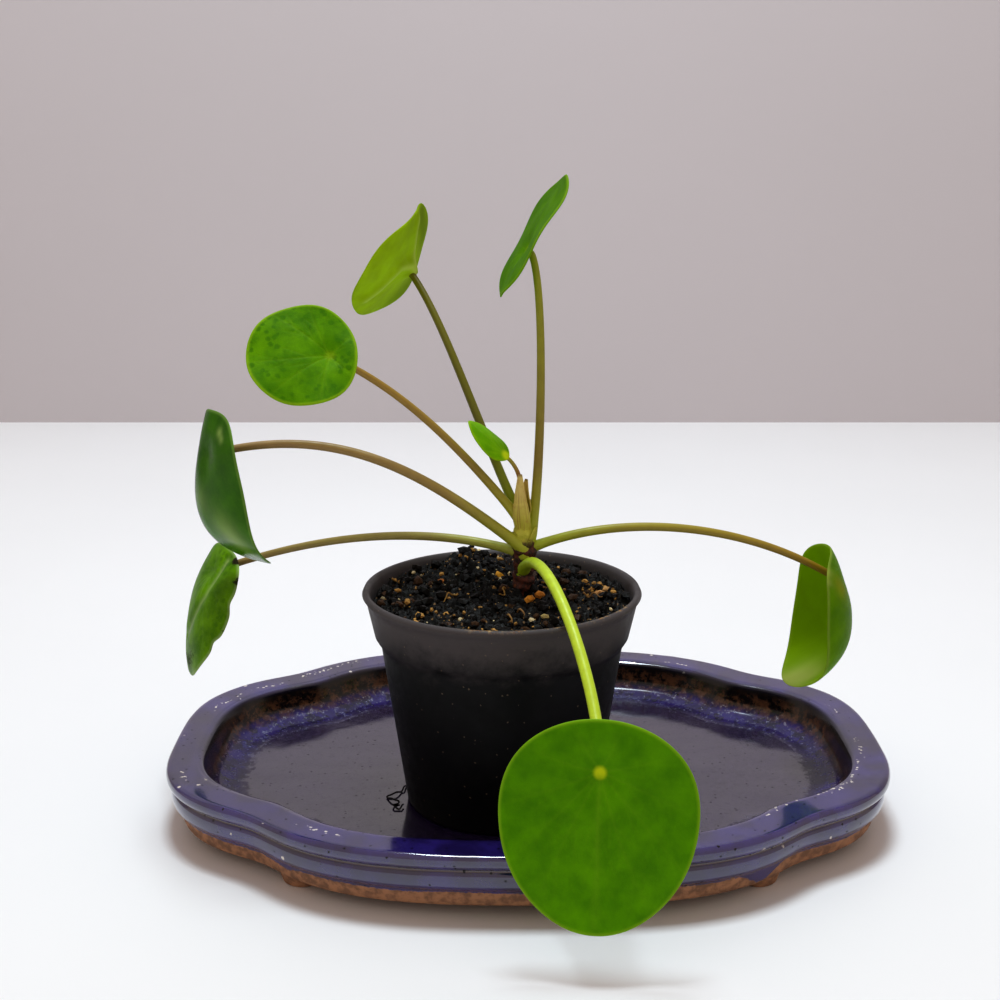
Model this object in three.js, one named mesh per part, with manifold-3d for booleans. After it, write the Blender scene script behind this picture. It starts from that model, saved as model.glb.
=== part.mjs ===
// A young Chinese money plant in its black nursery pot, standing on a glazed four-lobed drip tray.
//
// Millimetres, +Z up. The shapes are laid out in the tray's own frame: the tray's middle is at x = y = 0, its
// feet stand on z = 0, +X runs along the tray and the front leaf hangs on the -Y side. At the end the whole
// group is shifted so that its origin is the middle of its bounding box's bottom face.

import * as THREE from "three";
import { mergeVertices } from "three/addons/utils/BufferGeometryUtils.js";
import Module from "manifold-3d";

const wasm = await Module();
wasm.setup();

// ---------------------------------------------------------------------------------------------------------
// Driving dimensions
// ---------------------------------------------------------------------------------------------------------

const GAP = 0.3; // clearance between pieces that touch

// Tray: the outline is the larger of a long and a wide superellipse, which gives its four notches.
const TRAY = {
  long: { halfX: 81, halfY: 46.5, power: 3.15 },
  wide: { halfX: 67, halfY: 59.2, power: 2.85 },
  notchSharpness: 45,
  segments: 68,
  height: 15,
  floor: 7,
  underside: 2.5,
};

// Tray section, from the underside round the outside and over the rim to the floor: [inset, height].
const TRAY_SECTION = [
  [5.2, TRAY.underside],
  [3.7, TRAY.underside],
  [3.2, 3.1],
  [2.4, 6.5],
  [1.7, 6.9],
  [1.1, 7.8],
  [0.9, 9.3],
  [1.1, 10.6],
  [1.8, 11.1],
  [0.5, 12.0],
  [0, 13.0],
  [0.1, 14.3],
  [0.8, TRAY.height],
  [6.7, TRAY.height],
  [7.9, 14.5],
  [8.6, 13.1],
  [9.4, 10.5],
  [11, 8.5],
  [13.4, 7.4],
  [16.5, TRAY.floor],
];

const FOOT = { x: 47, y: 39.5, radiusBottom: 4.2, radiusTop: 5.2, sunk: 1, sides: 20 };

// Pot: a thin-walled plastic cup with a tapered collar and a beaded rim.
const POT = {
  x: -5.8,
  y: -14.2,
  height: 48.2,
  wall: 0.95,
  sides: 40,
  holeRadius: 2.2,
  holeCircle: 12.5,
  holes: 4,
};
const POT_BASE = TRAY.floor + GAP;
const POT_OUTSIDE = [
  [17.6, 0.9],
  [18.2, 0],
  [20.4, 0],
  [20.9, 0.5],
  [26.2, 36.9],
  [27.3, 38.2],
  [29.1, 46.3],
  [29.9, 46.8],
  [30, 47.6],
  [29.6, POT.height],
];
const POT_INSIDE = [
  [28.7, POT.height],
  [28.2, 47.4],
  [26.4, 38.6],
  [25.3, 36.9],
  [20, 1.9],
];

// Soil: fills the pot, with a lumpy top that is heaped towards the back.
const SOIL = {
  level: 46.4,
  rings: 9,
  sides: 36,
  lump: 0.75,
  heap: { x: -7, y: 19, height: 4.6, reach: 9 },
  mound: { x: 4, y: 2, height: 1.2, reach: 11 },
  crumbs: 18,
  crumbSize: [0.7, 1.5],
};

// Stem: stands in a plain hole in the soil. Its axis runs through these points, with these radii.
const STEM = {
  path: [
    [-1.2, -12, 41],
    [-1.2, -12, 47],
    [-1.3, -12, 53],
    [-1.2, -12, 58],
    [-1.1, -12, 63],
    [-1.2, -12, 67],
    [-1.6, -12, 72],
    [-1.8, -12, 76],
  ],
  radii: [0.7, 2, 2.4, 2.3, 2.5, 2.1, 1.3, 0.7],
  sides: 8,
  steps: 13,
  holeRadius: 3.1,
};

// Dry brown scales on the stem: height, direction round it, length and half width, in mm and degrees.
const SCALES = [
  { height: 59.5, turn: 20, length: 5.2, halfWidth: 1.5 },
  { height: 63.2, turn: -25, length: 5.4, halfWidth: 1.5 },
  { height: 62, turn: 75, length: 4, halfWidth: 1.3 },
  { height: 56.6, turn: 230, length: 4, halfWidth: 1.4 },
  { height: 57.5, turn: 120, length: 4.2, halfWidth: 1.3 },
  { height: 60.8, turn: 250, length: 3.4, halfWidth: 1.1 },
  { height: 55.4, turn: -50, length: 3.6, halfWidth: 1.3 },
];
const SCALE = { thickness: 0.7, lean: 0.32 };

const KNOBS = { count: 8, low: 53, high: 66, radius: [0.6, 1] };

// Leaves: a blade is a disc, bent about its own axes and hung on its stalk near its upper edge.
//   middle       the blade's middle
//   turn, rise   direction from the blade's base to its tip: round from +X, and above the horizontal
//   roll         turn about that direction
//   length, width
//   fold         bend across the blade, in degrees from edge to edge, up being positive: of its two sides
//   arch         bend along the blade: of its base half and of its tip half
//   square, egg  how square the outline is, 2 being an ellipse, and how much it narrows towards the tip
//   skew, hook   twist of the blade, and how far its tip curls under
//   seat         where the stalk joins, from the middle (0) to the base edge (1)
//   root         where the stalk leaves the stem
//   bends        the two handles of the stalk's curve
//   stalk        the stalk's radius at the stem and at the blade
const LEAVES = [
  {
    name: "upper_right",
    middle: [0.4, -4, 129.5], turn: 8.9, rise: 59.7, roll: -1.5, length: 28.9, width: 26.1,
    fold: [8, -2], arch: [-10, -13], square: 2.19, egg: 0.08, skew: 0.04, hook: -0.04, seat: 0.2,
    root: [0.3, -11.6, 66.2], bends: [[2.4, -11, 72], [4, -8, 123]], stalk: [1.15, 0.75],
  },
  {
    name: "upper_middle",
    middle: [-27.9, 8, 121.7], turn: 257.3, rise: 8.1, roll: 59.8, length: 32.5, width: 28.7,
    fold: [57, 53], arch: [18, 13], square: 1.92, egg: 0.18, skew: -0.13, hook: -0.07, seat: 0.22,
    root: [-1.7, -10.9, 69.5], bends: [[-11.6, -6, 90.5], [-18.4, 2, 111.5]], stalk: [1.1, 0.75],
  },
  {
    name: "upper_left",
    middle: [-46.2, -22, 107], turn: 187, rise: 0, roll: -53, length: 22.5, width: 23,
    fold: [-4, -4], arch: [-10, -10], square: 2.1, egg: 0.05, skew: 0, hook: 0, seat: 0.5,
    root: [-2, -12.2, 70], bends: [[-14.9, -12.5, 86.2], [-26.8, -13, 98.5]], stalk: [1.05, 0.7],
  },
  {
    name: "left",
    middle: [-68.8, -16, 76.7], turn: 235.9, rise: -89.3, roll: 17.4, length: 35.5, width: 29.2,
    fold: [-128, -27], arch: [-44, -65], square: 2.43, egg: -0.05, skew: -0.1, hook: 0.42, seat: 0.46,
    root: [-1.2, -13, 63.8], bends: [[-20, -16, 79.3], [-38, -15, 92.5]], stalk: [1.3, 0.8],
  },
  {
    name: "lower_left",
    middle: [-76, 2, 45.8], turn: 198.2, rise: -70.6, roll: -0.7, length: 31.6, width: 30.8,
    fold: [-47, -72], arch: [-53, -55], square: 2.13, egg: 0.02, skew: 0.14, hook: -0.01, seat: 0.58,
    root: [-2.2, -11.2, 62.4], bends: [[-21.3, -8, 67.6], [-45.9, 0, 63.8]], stalk: [1.05, 0.75],
  },
  {
    name: "right",
    middle: [72.7, 1, 45], turn: -1.4, rise: -86.4, roll: -11.3, length: 33.3, width: 29.6,
    fold: [-163, -157], arch: [-66, -68], square: 2.09, egg: 0.01, skew: -0.08, hook: 0.59, seat: 0.46,
    root: [0.4, -11.4, 63.4], bends: [[20.4, -9, 71], [48.9, -3, 66.7]], stalk: [1.05, 0.8],
  },
  {
    name: "front",
    middle: [11.5, -74, 28.7], turn: 259.1, rise: -79.9, roll: -4.8, length: 39.4, width: 36.2,
    fold: [0, -2], arch: [-4, 21], square: 2.12, egg: 0.12, skew: -0.01, hook: 0.03, seat: 0.5,
    root: [-1.2, -13, 58.8], bends: [[2.8, -33, 74.5], [13.6, -54.3, 46]], stalk: [1.2, 1.1],
  },
];

const YOUNG = {
  name: "young",
  middle: [-8.4, -14, 87.9], turn: 176, rise: 43, roll: -25, length: 11.7, width: 7.3,
  fold: [-50, -50], arch: [-15, -15], square: 1.8, egg: 0.15, skew: 0.08, hook: 0, seat: 0.85,
  root: [-1.8, -12, 76.3], bends: [[-1.7, -12.1, 79.5], [-2.9, -12.9, 82.2]], stalk: [0.5, 0.4],
};

const BLADE = {
  thickness: 0.8,
  rings: 4,
  sides: 28,
  dimple: 0.9, // depth of the dimple over the stalk
  dimpleReach: 0.24, // its radius, as a share of the half length
  ripple: 0.35, // height of the waves along the edge
  ripples: 5,
};
const YOUNG_BLADE = { ...BLADE, thickness: 0.6, rings: 3, sides: 16, dimple: 0, ripple: 0.1 };

const STALK = { sides: 8, steps: 14 };

// Stipules: two papery sheaths round the growing tip, each a strip of a cone that narrows to a point.
const STIPULES = [
  { name: "stipule_front", low: 68.6, high: 80.2, from: 205, to: 325, radius: 2.3, point: [-1.9, -13.2] },
  { name: "stipule_back", low: 70, high: 78.6, from: -20, to: 110, radius: 2.1, point: [-0.9, -11.6] },
];
const STIPULE = { thickness: 0.6, across: 7, up: 7 };

// ---------------------------------------------------------------------------------------------------------
// Helpers
// ---------------------------------------------------------------------------------------------------------

const radians = THREE.MathUtils.degToRad;
const { lerp, clamp, smoothstep } = THREE.MathUtils;
const vector = (xyz) => new THREE.Vector3(...xyz);

// A repeatable sequence of random numbers between 0 and 1.
function dice(seed) {
  let state = seed;
  return () => {
    state = (state * 1664525 + 1013904223) % 4294967296;
    return state / 4294967296;
  };
}

// The value of a table of [key, value] pairs at a key between them.
function along(table, key) {
  const after = clamp(table.findIndex(([k]) => k >= key), 1, table.length - 1);
  const [k0, v0] = table[after - 1];
  const [k1, v1] = table[after];
  return lerp(v0, v1, clamp((key - k0) / (k1 - k0), 0, 1));
}

function indexed(points, triangles) {
  const geometry = new THREE.BufferGeometry();
  const numbers = points.flatMap((p) => p.toArray());
  geometry.setAttribute("position", new THREE.Float32BufferAttribute(numbers, 3));
  geometry.setIndex(triangles.flat());
  return geometry;
}

// Six times the volume that the triangles enclose, positive where they face outwards.
function signedVolume(geometry) {
  const p = geometry.getAttribute("position");
  const index = geometry.getIndex();
  const [a, b, c] = [new THREE.Vector3(), new THREE.Vector3(), new THREE.Vector3()];
  let total = 0;
  for (let i = 0; i < index.count; i += 3) {
    a.fromBufferAttribute(p, index.getX(i));
    b.fromBufferAttribute(p, index.getX(i + 1));
    c.fromBufferAttribute(p, index.getX(i + 2));
    total += a.dot(b.cross(c));
  }
  return total;
}

function faceOutwards(geometry) {
  if (signedVolume(geometry) > 0) return geometry;
  const array = geometry.getIndex().array;
  for (let i = 0; i < array.length; i += 3) [array[i], array[i + 1]] = [array[i + 1], array[i]];
  return geometry;
}

// A closed skin over rings of points that follow each other, with a fan over the first and the last ring.
// From the row mirroredFrom on, the four-sided fields are split the other way.
function loft(rings, mirroredFrom = Infinity) {
  const sides = rings[0].length;
  const points = rings.flat();
  const triangles = [];
  for (let r = 0; r + 1 < rings.length; r++) {
    for (let s = 0; s < sides; s++) {
      const a = r * sides + s;
      const b = r * sides + ((s + 1) % sides);
      if (r < mirroredFrom) triangles.push([a, b, b + sides], [a, b + sides, a + sides]);
      else triangles.push([a, b, a + sides], [b, b + sides, a + sides]);
    }
  }
  for (const [ring, first] of [[rings[0], 0], [rings.at(-1), (rings.length - 1) * sides]]) {
    const middle = ring.reduce((sum, p) => sum.add(p), new THREE.Vector3()).divideScalar(sides);
    const hub = points.push(middle) - 1;
    for (let s = 0; s < sides; s++) {
      const edge = [first + s, first + ((s + 1) % sides)];
      triangles.push(first ? [edge[0], edge[1], hub] : [edge[1], edge[0], hub]);
    }
  }
  return faceOutwards(indexed(points, triangles));
}

// The same shape with nothing but positions, and every shared corner stored once.
function merged(geometry) {
  const plain = geometry.clone().deleteAttribute("normal").deleteAttribute("uv");
  return mergeVertices(plain, 1e-4);
}

function solidOf(geometry) {
  const plain = geometry.getAttribute("normal") ? merged(geometry) : geometry;
  return new wasm.Manifold(
    new wasm.Mesh({
      numProp: 3,
      vertProperties: new Float32Array(plain.getAttribute("position").array),
      triVerts: new Uint32Array(plain.getIndex().array),
    }),
  );
}

function geometryOf(solid) {
  const mesh = solid.getMesh();
  const geometry = new THREE.BufferGeometry();
  geometry.setAttribute("position", new THREE.BufferAttribute(mesh.vertProperties, 3));
  geometry.setIndex(new THREE.BufferAttribute(mesh.triVerts, 1));
  return geometry;
}

// What is left of a solid once others are cut away, without the scraps.
function cut(solid, others) {
  const rest = others.reduce((left, other) => left.subtract(other), solid);
  return rest.decompose().sort((a, b) => b.volume() - a.volume())[0];
}

const join = (solid, others) => others.reduce((sum, other) => sum.add(other), solid);

// ---------------------------------------------------------------------------------------------------------
// Tray
// ---------------------------------------------------------------------------------------------------------

function superellipseRadius({ halfX, halfY, power }, angle, inset) {
  const x = Math.abs(Math.cos(angle)) / (halfX - inset);
  const y = Math.abs(Math.sin(angle)) / (halfY - inset);
  return (x ** power + y ** power) ** (-1 / power);
}

function trayRadius(angle, inset) {
  const long = superellipseRadius(TRAY.long, angle, inset);
  const wide = superellipseRadius(TRAY.wide, angle, inset);
  const larger = Math.max(long, wide);
  const k = TRAY.notchSharpness;
  return larger * ((long / larger) ** k + (wide / larger) ** k) ** (1 / k);
}

function trayRing([inset, height]) {
  return Array.from({ length: TRAY.segments }, (_, i) => {
    const angle = (2 * Math.PI * i) / TRAY.segments;
    const radius = trayRadius(angle, inset);
    return new THREE.Vector3(radius * Math.cos(angle), radius * Math.sin(angle), height);
  });
}

function tray() {
  const body = solidOf(loft(TRAY_SECTION.map(trayRing)));
  const feet = [];
  const tall = TRAY.underside + FOOT.sunk;
  for (const x of [-FOOT.x, FOOT.x]) {
    for (const y of [-FOOT.y, FOOT.y]) {
      const foot = new THREE.CylinderGeometry(FOOT.radiusTop, FOOT.radiusBottom, tall, FOOT.sides);
      foot.rotateX(Math.PI / 2).translate(x, y, tall / 2);
      feet.push(solidOf(foot));
    }
  }
  return join(body, feet);
}

// ---------------------------------------------------------------------------------------------------------
// Pot and soil
// ---------------------------------------------------------------------------------------------------------

// A section of [radius, height] points turned about the pot's axis.
function turned(section) {
  const profile = section.map(([radius, height]) => new THREE.Vector2(radius, height));
  const geometry = new THREE.LatheGeometry(profile, POT.sides);
  geometry.rotateX(Math.PI / 2).translate(POT.x, POT.y, POT_BASE);
  return faceOutwards(merged(geometry));
}

function pot() {
  const underside = POT_OUTSIDE[0][1];
  const section = [[0, underside], ...POT_OUTSIDE, ...POT_INSIDE, [0, underside + POT.wall]];
  const holes = Array.from({ length: POT.holes }, (_, i) => {
    const angle = (2 * Math.PI * (i + 0.5)) / POT.holes;
    const hole = new THREE.CylinderGeometry(POT.holeRadius, POT.holeRadius, 4, 12);
    hole.rotateX(Math.PI / 2);
    hole.translate(
      POT.x + POT.holeCircle * Math.cos(angle),
      POT.y + POT.holeCircle * Math.sin(angle),
      POT_BASE + underside,
    );
    return solidOf(hole);
  });
  return cut(solidOf(turned(section)), holes);
}

// Height of the soil over the pot's base, at a place measured from the pot's axis.
function soilTop(x, y) {
  const { heap, mound, lump } = SOIL;
  const pile = heap.height * Math.exp(-(((x - heap.x) ** 2 + (y - heap.y) ** 2) / heap.reach ** 2));
  const rise = mound.height * Math.exp(-((x - mound.x) ** 2 + (y - mound.y) ** 2) / mound.reach ** 2);
  const lumps = Math.sin(0.9 * x + 1.3 * y) * Math.cos(1.1 * x - 0.7 * y + 0.6)
    + 0.6 * Math.sin(2.1 * x - 1.7 * y + 2) * Math.sin(1.9 * x + 2.3 * y);
  const atWall = 1 - smoothstep(Math.hypot(x, y), 20, 27);
  return SOIL.level + (pile + rise) * (0.35 + 0.65 * atWall) + lump * lumps;
}

function soilRing(radius, height) {
  return Array.from({ length: SOIL.sides }, (_, i) => {
    const angle = (2 * Math.PI * i) / SOIL.sides;
    const [x, y] = [radius * Math.cos(angle), radius * Math.sin(angle)];
    const z = height ?? soilTop(x, y);
    return new THREE.Vector3(POT.x + x, POT.y + y, POT_BASE + z);
  });
}

function soil() {
  const inside = [...POT_INSIDE].reverse().map(([radius, height]) => [height, radius - 1.5 * GAP]);
  const bottom = POT_INSIDE.at(-1)[1] + GAP;
  const edge = along(inside, SOIL.level - 1.5);
  const rings = [bottom, inside[1][0], inside[2][0]].map((z) => soilRing(along(inside, z), z));
  for (let r = 0; r < SOIL.rings; r++) rings.push(soilRing(edge * (1 - r / SOIL.rings)));
  const random = dice(11);
  const crumbs = Array.from({ length: SOIL.crumbs }, () => {
    const radius = 24 * Math.sqrt(random());
    const angle = 2 * Math.PI * random();
    const [x, y] = [radius * Math.cos(angle), radius * Math.sin(angle)];
    const size = lerp(...SOIL.crumbSize, random());
    const crumb = new THREE.IcosahedronGeometry(size, 0);
    crumb.scale(1, lerp(0.6, 1, random()), lerp(0.6, 0.9, random())).rotateZ(6 * random());
    crumb.translate(POT.x + x, POT.y + y, POT_BASE + soilTop(x, y) + 0.15 * size);
    return solidOf(crumb);
  });
  const hole = new THREE.CylinderGeometry(STEM.holeRadius, STEM.holeRadius, 40, 20);
  const [x, y, z] = STEM.path[0];
  hole.rotateX(Math.PI / 2).translate(x, y, z - 1 + 20);
  return cut(join(solidOf(loft(rings)), crumbs), [solidOf(hole)]);
}

// ---------------------------------------------------------------------------------------------------------
// Stalks and stem: round sections along a curve
// ---------------------------------------------------------------------------------------------------------

// A tapered rod along a curve. radiusAt gives its radius at each share of the curve's length.
function rod(curve, radiusAt, sides, steps) {
  const frames = curve.computeFrenetFrames(steps);
  const rings = [];
  for (let i = 0; i <= steps; i++) {
    const share = i / steps;
    const middle = curve.getPointAt(share);
    const radius = radiusAt(share);
    rings.push(
      Array.from({ length: sides }, (_, s) => {
        const angle = (2 * Math.PI * s) / sides;
        return middle
          .clone()
          .addScaledVector(frames.normals[i], radius * Math.cos(angle))
          .addScaledVector(frames.binormals[i], radius * Math.sin(angle));
      }),
    );
  }
  return loft(rings);
}

// The stem is nearly upright, so a share of its length is taken as the same share of its height.
function stemRod(grow) {
  const curve = new THREE.CatmullRomCurve3(STEM.path.map(vector));
  const [foot, tip] = [STEM.path[0][2], STEM.path.at(-1)[2]];
  return rod(curve, (share) => stemRadius(lerp(foot, tip, share)) + grow, STEM.sides, STEM.steps);
}

function stemAxis(height) {
  const x = STEM.path.map(([px, , pz]) => [pz, px]);
  return new THREE.Vector3(along(x, height), STEM.path[0][1], height);
}

function stemRadius(height) {
  return along(STEM.path.map(([, , z], i) => [z, STEM.radii[i]]), height);
}

// A dry scale: a thin tapered tongue, sunk into the stem at its foot and leaning away at its tip.
function scale({ height, turn, length, halfWidth }) {
  const out = new THREE.Vector3(Math.cos(radians(turn)), Math.sin(radians(turn)), 0);
  const side = new THREE.Vector3(-out.y, out.x, 0);
  const rings = [0, 0.35, 0.7, 1].map((share) => {
    const z = height + length * share;
    const width = halfWidth * Math.sqrt(1 - 0.92 * share ** 2);
    const away = stemRadius(height) - 0.9 + length * SCALE.lean * share ** 1.5;
    const thick = SCALE.thickness * (2 - share) * 0.6;
    return [[-1, -0.5], [1, -0.5], [1, 0.5], [-1, 0.5]].map(([w, t]) =>
      stemAxis(z)
        .addScaledVector(side, w * width)
        .addScaledVector(out, away + t * thick - 0.25 * w * w * halfWidth),
    );
  });
  return solidOf(loft(rings));
}

function stem(stalks) {
  const random = dice(5);
  const knobs = Array.from({ length: KNOBS.count }, () => {
    const height = lerp(KNOBS.low, KNOBS.high, random());
    const angle = 2 * Math.PI * random();
    const size = lerp(...KNOBS.radius, random());
    const middle = stemAxis(height);
    const out = stemRadius(height) - 0.35 * size;
    const knob = new THREE.IcosahedronGeometry(size, 0).rotateZ(angle);
    knob.translate(middle.x + out * Math.cos(angle), middle.y + out * Math.sin(angle), height);
    return solidOf(knob);
  });
  const trim = join(knobs[0], [...knobs.slice(1), ...SCALES.map(scale)]);
  const clear = stalks.reduce((left, stalk) => left.subtract(stalk), trim);
  return cut(solidOf(stemRod(0)).add(clear), []);
}

// ---------------------------------------------------------------------------------------------------------
// Blades
// ---------------------------------------------------------------------------------------------------------

// The blade's own axes: towards the tip, across, and out of the upper face.
function bladeAxes({ turn, rise, roll }) {
  const [a, e, r] = [radians(turn), radians(rise), radians(roll)];
  const tip = new THREE.Vector3(Math.cos(e) * Math.cos(a), Math.cos(e) * Math.sin(a), Math.sin(e));
  const level = new THREE.Vector3(-Math.sin(a), Math.cos(a), 0);
  const above = tip.clone().cross(level);
  const across = level.clone().multiplyScalar(Math.cos(r)).addScaledVector(above, Math.sin(r));
  const up = above.multiplyScalar(Math.cos(r)).addScaledVector(level, -Math.sin(r));
  return { tip, across, up };
}

// A length laid along a circular arc: how far it reaches, and how far it rises.
function onArc(distance, halfSpan, degrees) {
  const curvature = radians(degrees) / (2 * halfSpan);
  if (Math.abs(curvature) < 1e-6) return [distance, 0];
  return [Math.sin(curvature * distance) / curvature, (1 - Math.cos(curvature * distance)) / curvature];
}

// A point of the blade's middle surface. u runs from base (-1) to tip (1), and v across (-1 to 1).
function bladePoint(leaf, form, u, v) {
  const { tip, across, up } = bladeAxes(leaf);
  const halfLength = leaf.length / 2;
  const halfWidth = leaf.width / 2;
  const [reach, riseAlong] = onArc(u * halfLength, halfLength, leaf.arch[u < 0 ? 0 : 1]);
  const [spread, riseAcross] = onArc(v * halfWidth, halfWidth, leaf.fold[v < 0 ? 0 : 1]);
  const twist = leaf.skew * u * v * halfLength;
  const curl = -leaf.hook * halfLength * Math.max(0, u) ** 3;
  const fromSeat = Math.hypot(u + leaf.seat, v) / form.dimpleReach;
  const dimple = -form.dimple * Math.exp(-(fromSeat ** 2));
  const wave = form.ripple * Math.hypot(u, v) ** 3 * Math.sin(form.ripples * Math.atan2(v, u) + leaf.turn);
  return vector(leaf.middle)
    .addScaledVector(tip, reach)
    .addScaledVector(across, spread)
    .addScaledVector(up, riseAlong + riseAcross + twist + curl + dimple + wave);
}

function bladeNormal(leaf, form, u, v) {
  const step = 1e-3;
  const here = bladePoint(leaf, form, u, v);
  const alongU = bladePoint(leaf, form, u + step, v).sub(here);
  const alongV = bladePoint(leaf, form, u, v + step).sub(here);
  return alongU.cross(alongV).normalize();
}

// The blade's two faces are the same net of rings round the seat, half its thickness above and below.
function blade(leaf, form, grow = 0) {
  const half = form.thickness / 2 + grow;
  const wider = 1 + (2 * grow) / leaf.length;
  const outline = Array.from({ length: form.sides }, (_, i) => {
    const angle = (2 * Math.PI * i) / form.sides;
    const [c, s] = [Math.cos(angle), Math.sin(angle)];
    const reach = (Math.abs(c) ** leaf.square + Math.abs(s) ** leaf.square) ** (-1 / leaf.square);
    return [reach * c, reach * s * (1 - leaf.egg * c)];
  });
  const ring = (share, offset) =>
    outline.map(([u, v]) => {
      const [pu, pv] = [lerp(-leaf.seat, u * wider, share), v * wider * share];
      return bladePoint(leaf, form, pu, pv).addScaledVector(bladeNormal(leaf, form, pu, pv), offset);
    });
  const shares = Array.from({ length: form.rings }, (_, r) => ((r + 1) / form.rings) ** 0.8);
  const upper = shares.map((share) => ring(share, half));
  const lower = shares.map((share) => ring(share, -half)).reverse();
  return loft([...upper, ...lower], form.rings);
}

function seatOf(leaf, form) {
  return bladePoint(leaf, form, -leaf.seat, 0);
}

function stalk(leaf, form, grow = 0) {
  const curve = new THREE.CubicBezierCurve3(vector(leaf.root), ...leaf.bends.map(vector), seatOf(leaf, form));
  const [first, last] = leaf.stalk;
  return rod(curve, (share) => lerp(first, last, share ** 0.7) + grow, STALK.sides, STALK.steps);
}

// ---------------------------------------------------------------------------------------------------------
// Stipules
// ---------------------------------------------------------------------------------------------------------

function stipule({ low, high, from, to, radius, point }) {
  const ring = (share) => {
    const height = lerp(low, high, share);
    const narrowing = Math.sqrt(1 - 0.97 * share ** 1.6);
    const middle = radians((from + to) / 2);
    const halfAngle = (radians(to - from) / 2) * (0.55 + 0.45 * narrowing);
    const centre = stemAxis(height).lerp(new THREE.Vector3(...point, height), share ** 2);
    const curve = radius * lerp(1, 0.35, share ** 1.5) * (share < 0.5 ? 1 : lerp(1, narrowing, 0.5));
    const edge = (offset, direction) =>
      Array.from({ length: STIPULE.across }, (_, i) => {
        const across = direction * ((2 * i) / (STIPULE.across - 1) - 1);
        const angle = middle + halfAngle * across;
        const out = curve + offset;
        return new THREE.Vector3(centre.x + out * Math.cos(angle), centre.y + out * Math.sin(angle), height);
      });
    return [...edge(STIPULE.thickness, 1), ...edge(0, -1)];
  };
  return loft(Array.from({ length: STIPULE.up + 1 }, (_, i) => ring(i / STIPULE.up)));
}

// ---------------------------------------------------------------------------------------------------------
// Assembly
// ---------------------------------------------------------------------------------------------------------

const finish = (color, roughness) => new THREE.MeshStandardMaterial({ color, roughness, metalness: 0 });
const FINISH = {
  glaze: finish(0x1d1746, 0.2),
  plastic: finish(0x1b1a1d, 0.55),
  soil: finish(0x17120f, 0.95),
  bark: finish(0x4a2516, 0.8),
  stalk: finish(0x6d6a26, 0.5),
  leaf: finish(0x2f7a12, 0.38),
  sprout: finish(0x63b81d, 0.4),
  paper: finish(0xb3a96a, 0.6),
};

const group = new THREE.Group();

function add(name, solid, material) {
  const mesh = new THREE.Mesh(geometryOf(solid), material);
  mesh.name = name;
  group.add(mesh);
}

const formOf = (leaf) => (leaf === YOUNG ? YOUNG_BLADE : BLADE);
const allLeaves = [...LEAVES, YOUNG];
const grownStem = solidOf(stemRod(GAP));

// Each stalk starts clear of the stem and of the stalks before it, and ends clear under its blade.
const stalks = [];
for (const leaf of allLeaves) {
  const form = formOf(leaf);
  const others = [grownStem, solidOf(blade(leaf, form, GAP)), ...stalks.map(({ grown }) => grown)];
  stalks.push({
    leaf,
    solid: cut(solidOf(stalk(leaf, form)), others),
    grown: solidOf(stalk(leaf, form, GAP)),
  });
}
const grownStalks = stalks.map(({ grown }) => grown);
const stemSolid = stem(grownStalks);

add("tray", tray(), FINISH.glaze);
add("pot", pot(), FINISH.plastic);
add("soil", soil(), FINISH.soil);
add("stem", stemSolid, FINISH.bark);
for (const { leaf, solid } of stalks) {
  add(`petiole_${leaf.name}`, solid, leaf === YOUNG ? FINISH.sprout : FINISH.stalk);
  add(`blade_${leaf.name}`, solidOf(blade(leaf, formOf(leaf))), leaf === YOUNG ? FINISH.sprout : FINISH.leaf);
}
const sheaths = [];
for (const form of STIPULES) {
  const solid = cut(solidOf(stipule(form)), [grownStem, ...grownStalks, ...sheaths]);
  add(form.name, solid, FINISH.paper);
  sheaths.push(solid);
}

const box = new THREE.Box3().setFromObject(group);
const middle = box.getCenter(new THREE.Vector3());
group.position.set(-middle.x, -middle.y, -box.min.z);

export default group;
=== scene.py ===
# %% [markdown]
# # A potted money plant on a glazed drip tray
# The object is a young money plant with seven round leaves on long stalks. It grows in a small black nursery pot,
# which stands in a four-lobed glazed tray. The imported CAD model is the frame: it says where each piece is. The
# cells below make one piece or one finish at a time round that frame. Shapes are laid out in millimetres from the
# tray's middle, because a leaf or a glaze line is easier to think of that way, and turned into metres at the end.

# %% Load the frame and keep its box
import math

import bpy
import numpy as np
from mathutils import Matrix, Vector


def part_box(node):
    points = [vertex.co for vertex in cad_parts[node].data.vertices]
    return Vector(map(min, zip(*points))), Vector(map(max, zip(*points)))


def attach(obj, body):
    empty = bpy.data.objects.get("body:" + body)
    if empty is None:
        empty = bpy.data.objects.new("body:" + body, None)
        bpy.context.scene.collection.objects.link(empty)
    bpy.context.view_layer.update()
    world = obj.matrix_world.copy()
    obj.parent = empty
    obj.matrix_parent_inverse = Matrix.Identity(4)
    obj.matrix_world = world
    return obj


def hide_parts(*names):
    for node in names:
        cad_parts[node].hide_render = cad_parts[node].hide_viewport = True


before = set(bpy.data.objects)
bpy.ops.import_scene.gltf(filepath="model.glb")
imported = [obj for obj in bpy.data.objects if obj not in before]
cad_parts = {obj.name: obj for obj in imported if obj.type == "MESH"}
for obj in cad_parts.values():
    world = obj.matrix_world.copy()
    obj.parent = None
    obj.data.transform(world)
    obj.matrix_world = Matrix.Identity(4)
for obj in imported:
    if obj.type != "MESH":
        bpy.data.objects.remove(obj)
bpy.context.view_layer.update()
MM = 0.001
TRAY_LOW, TRAY_HIGH = (np.array(corner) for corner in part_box("tray"))
TRAY_MIDDLE = (TRAY_LOW + TRAY_HIGH) / 2 * (1, 1, 0)
print("frame:", len(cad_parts), "nodes, tray's middle at", TRAY_MIDDLE.round(4))


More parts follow.
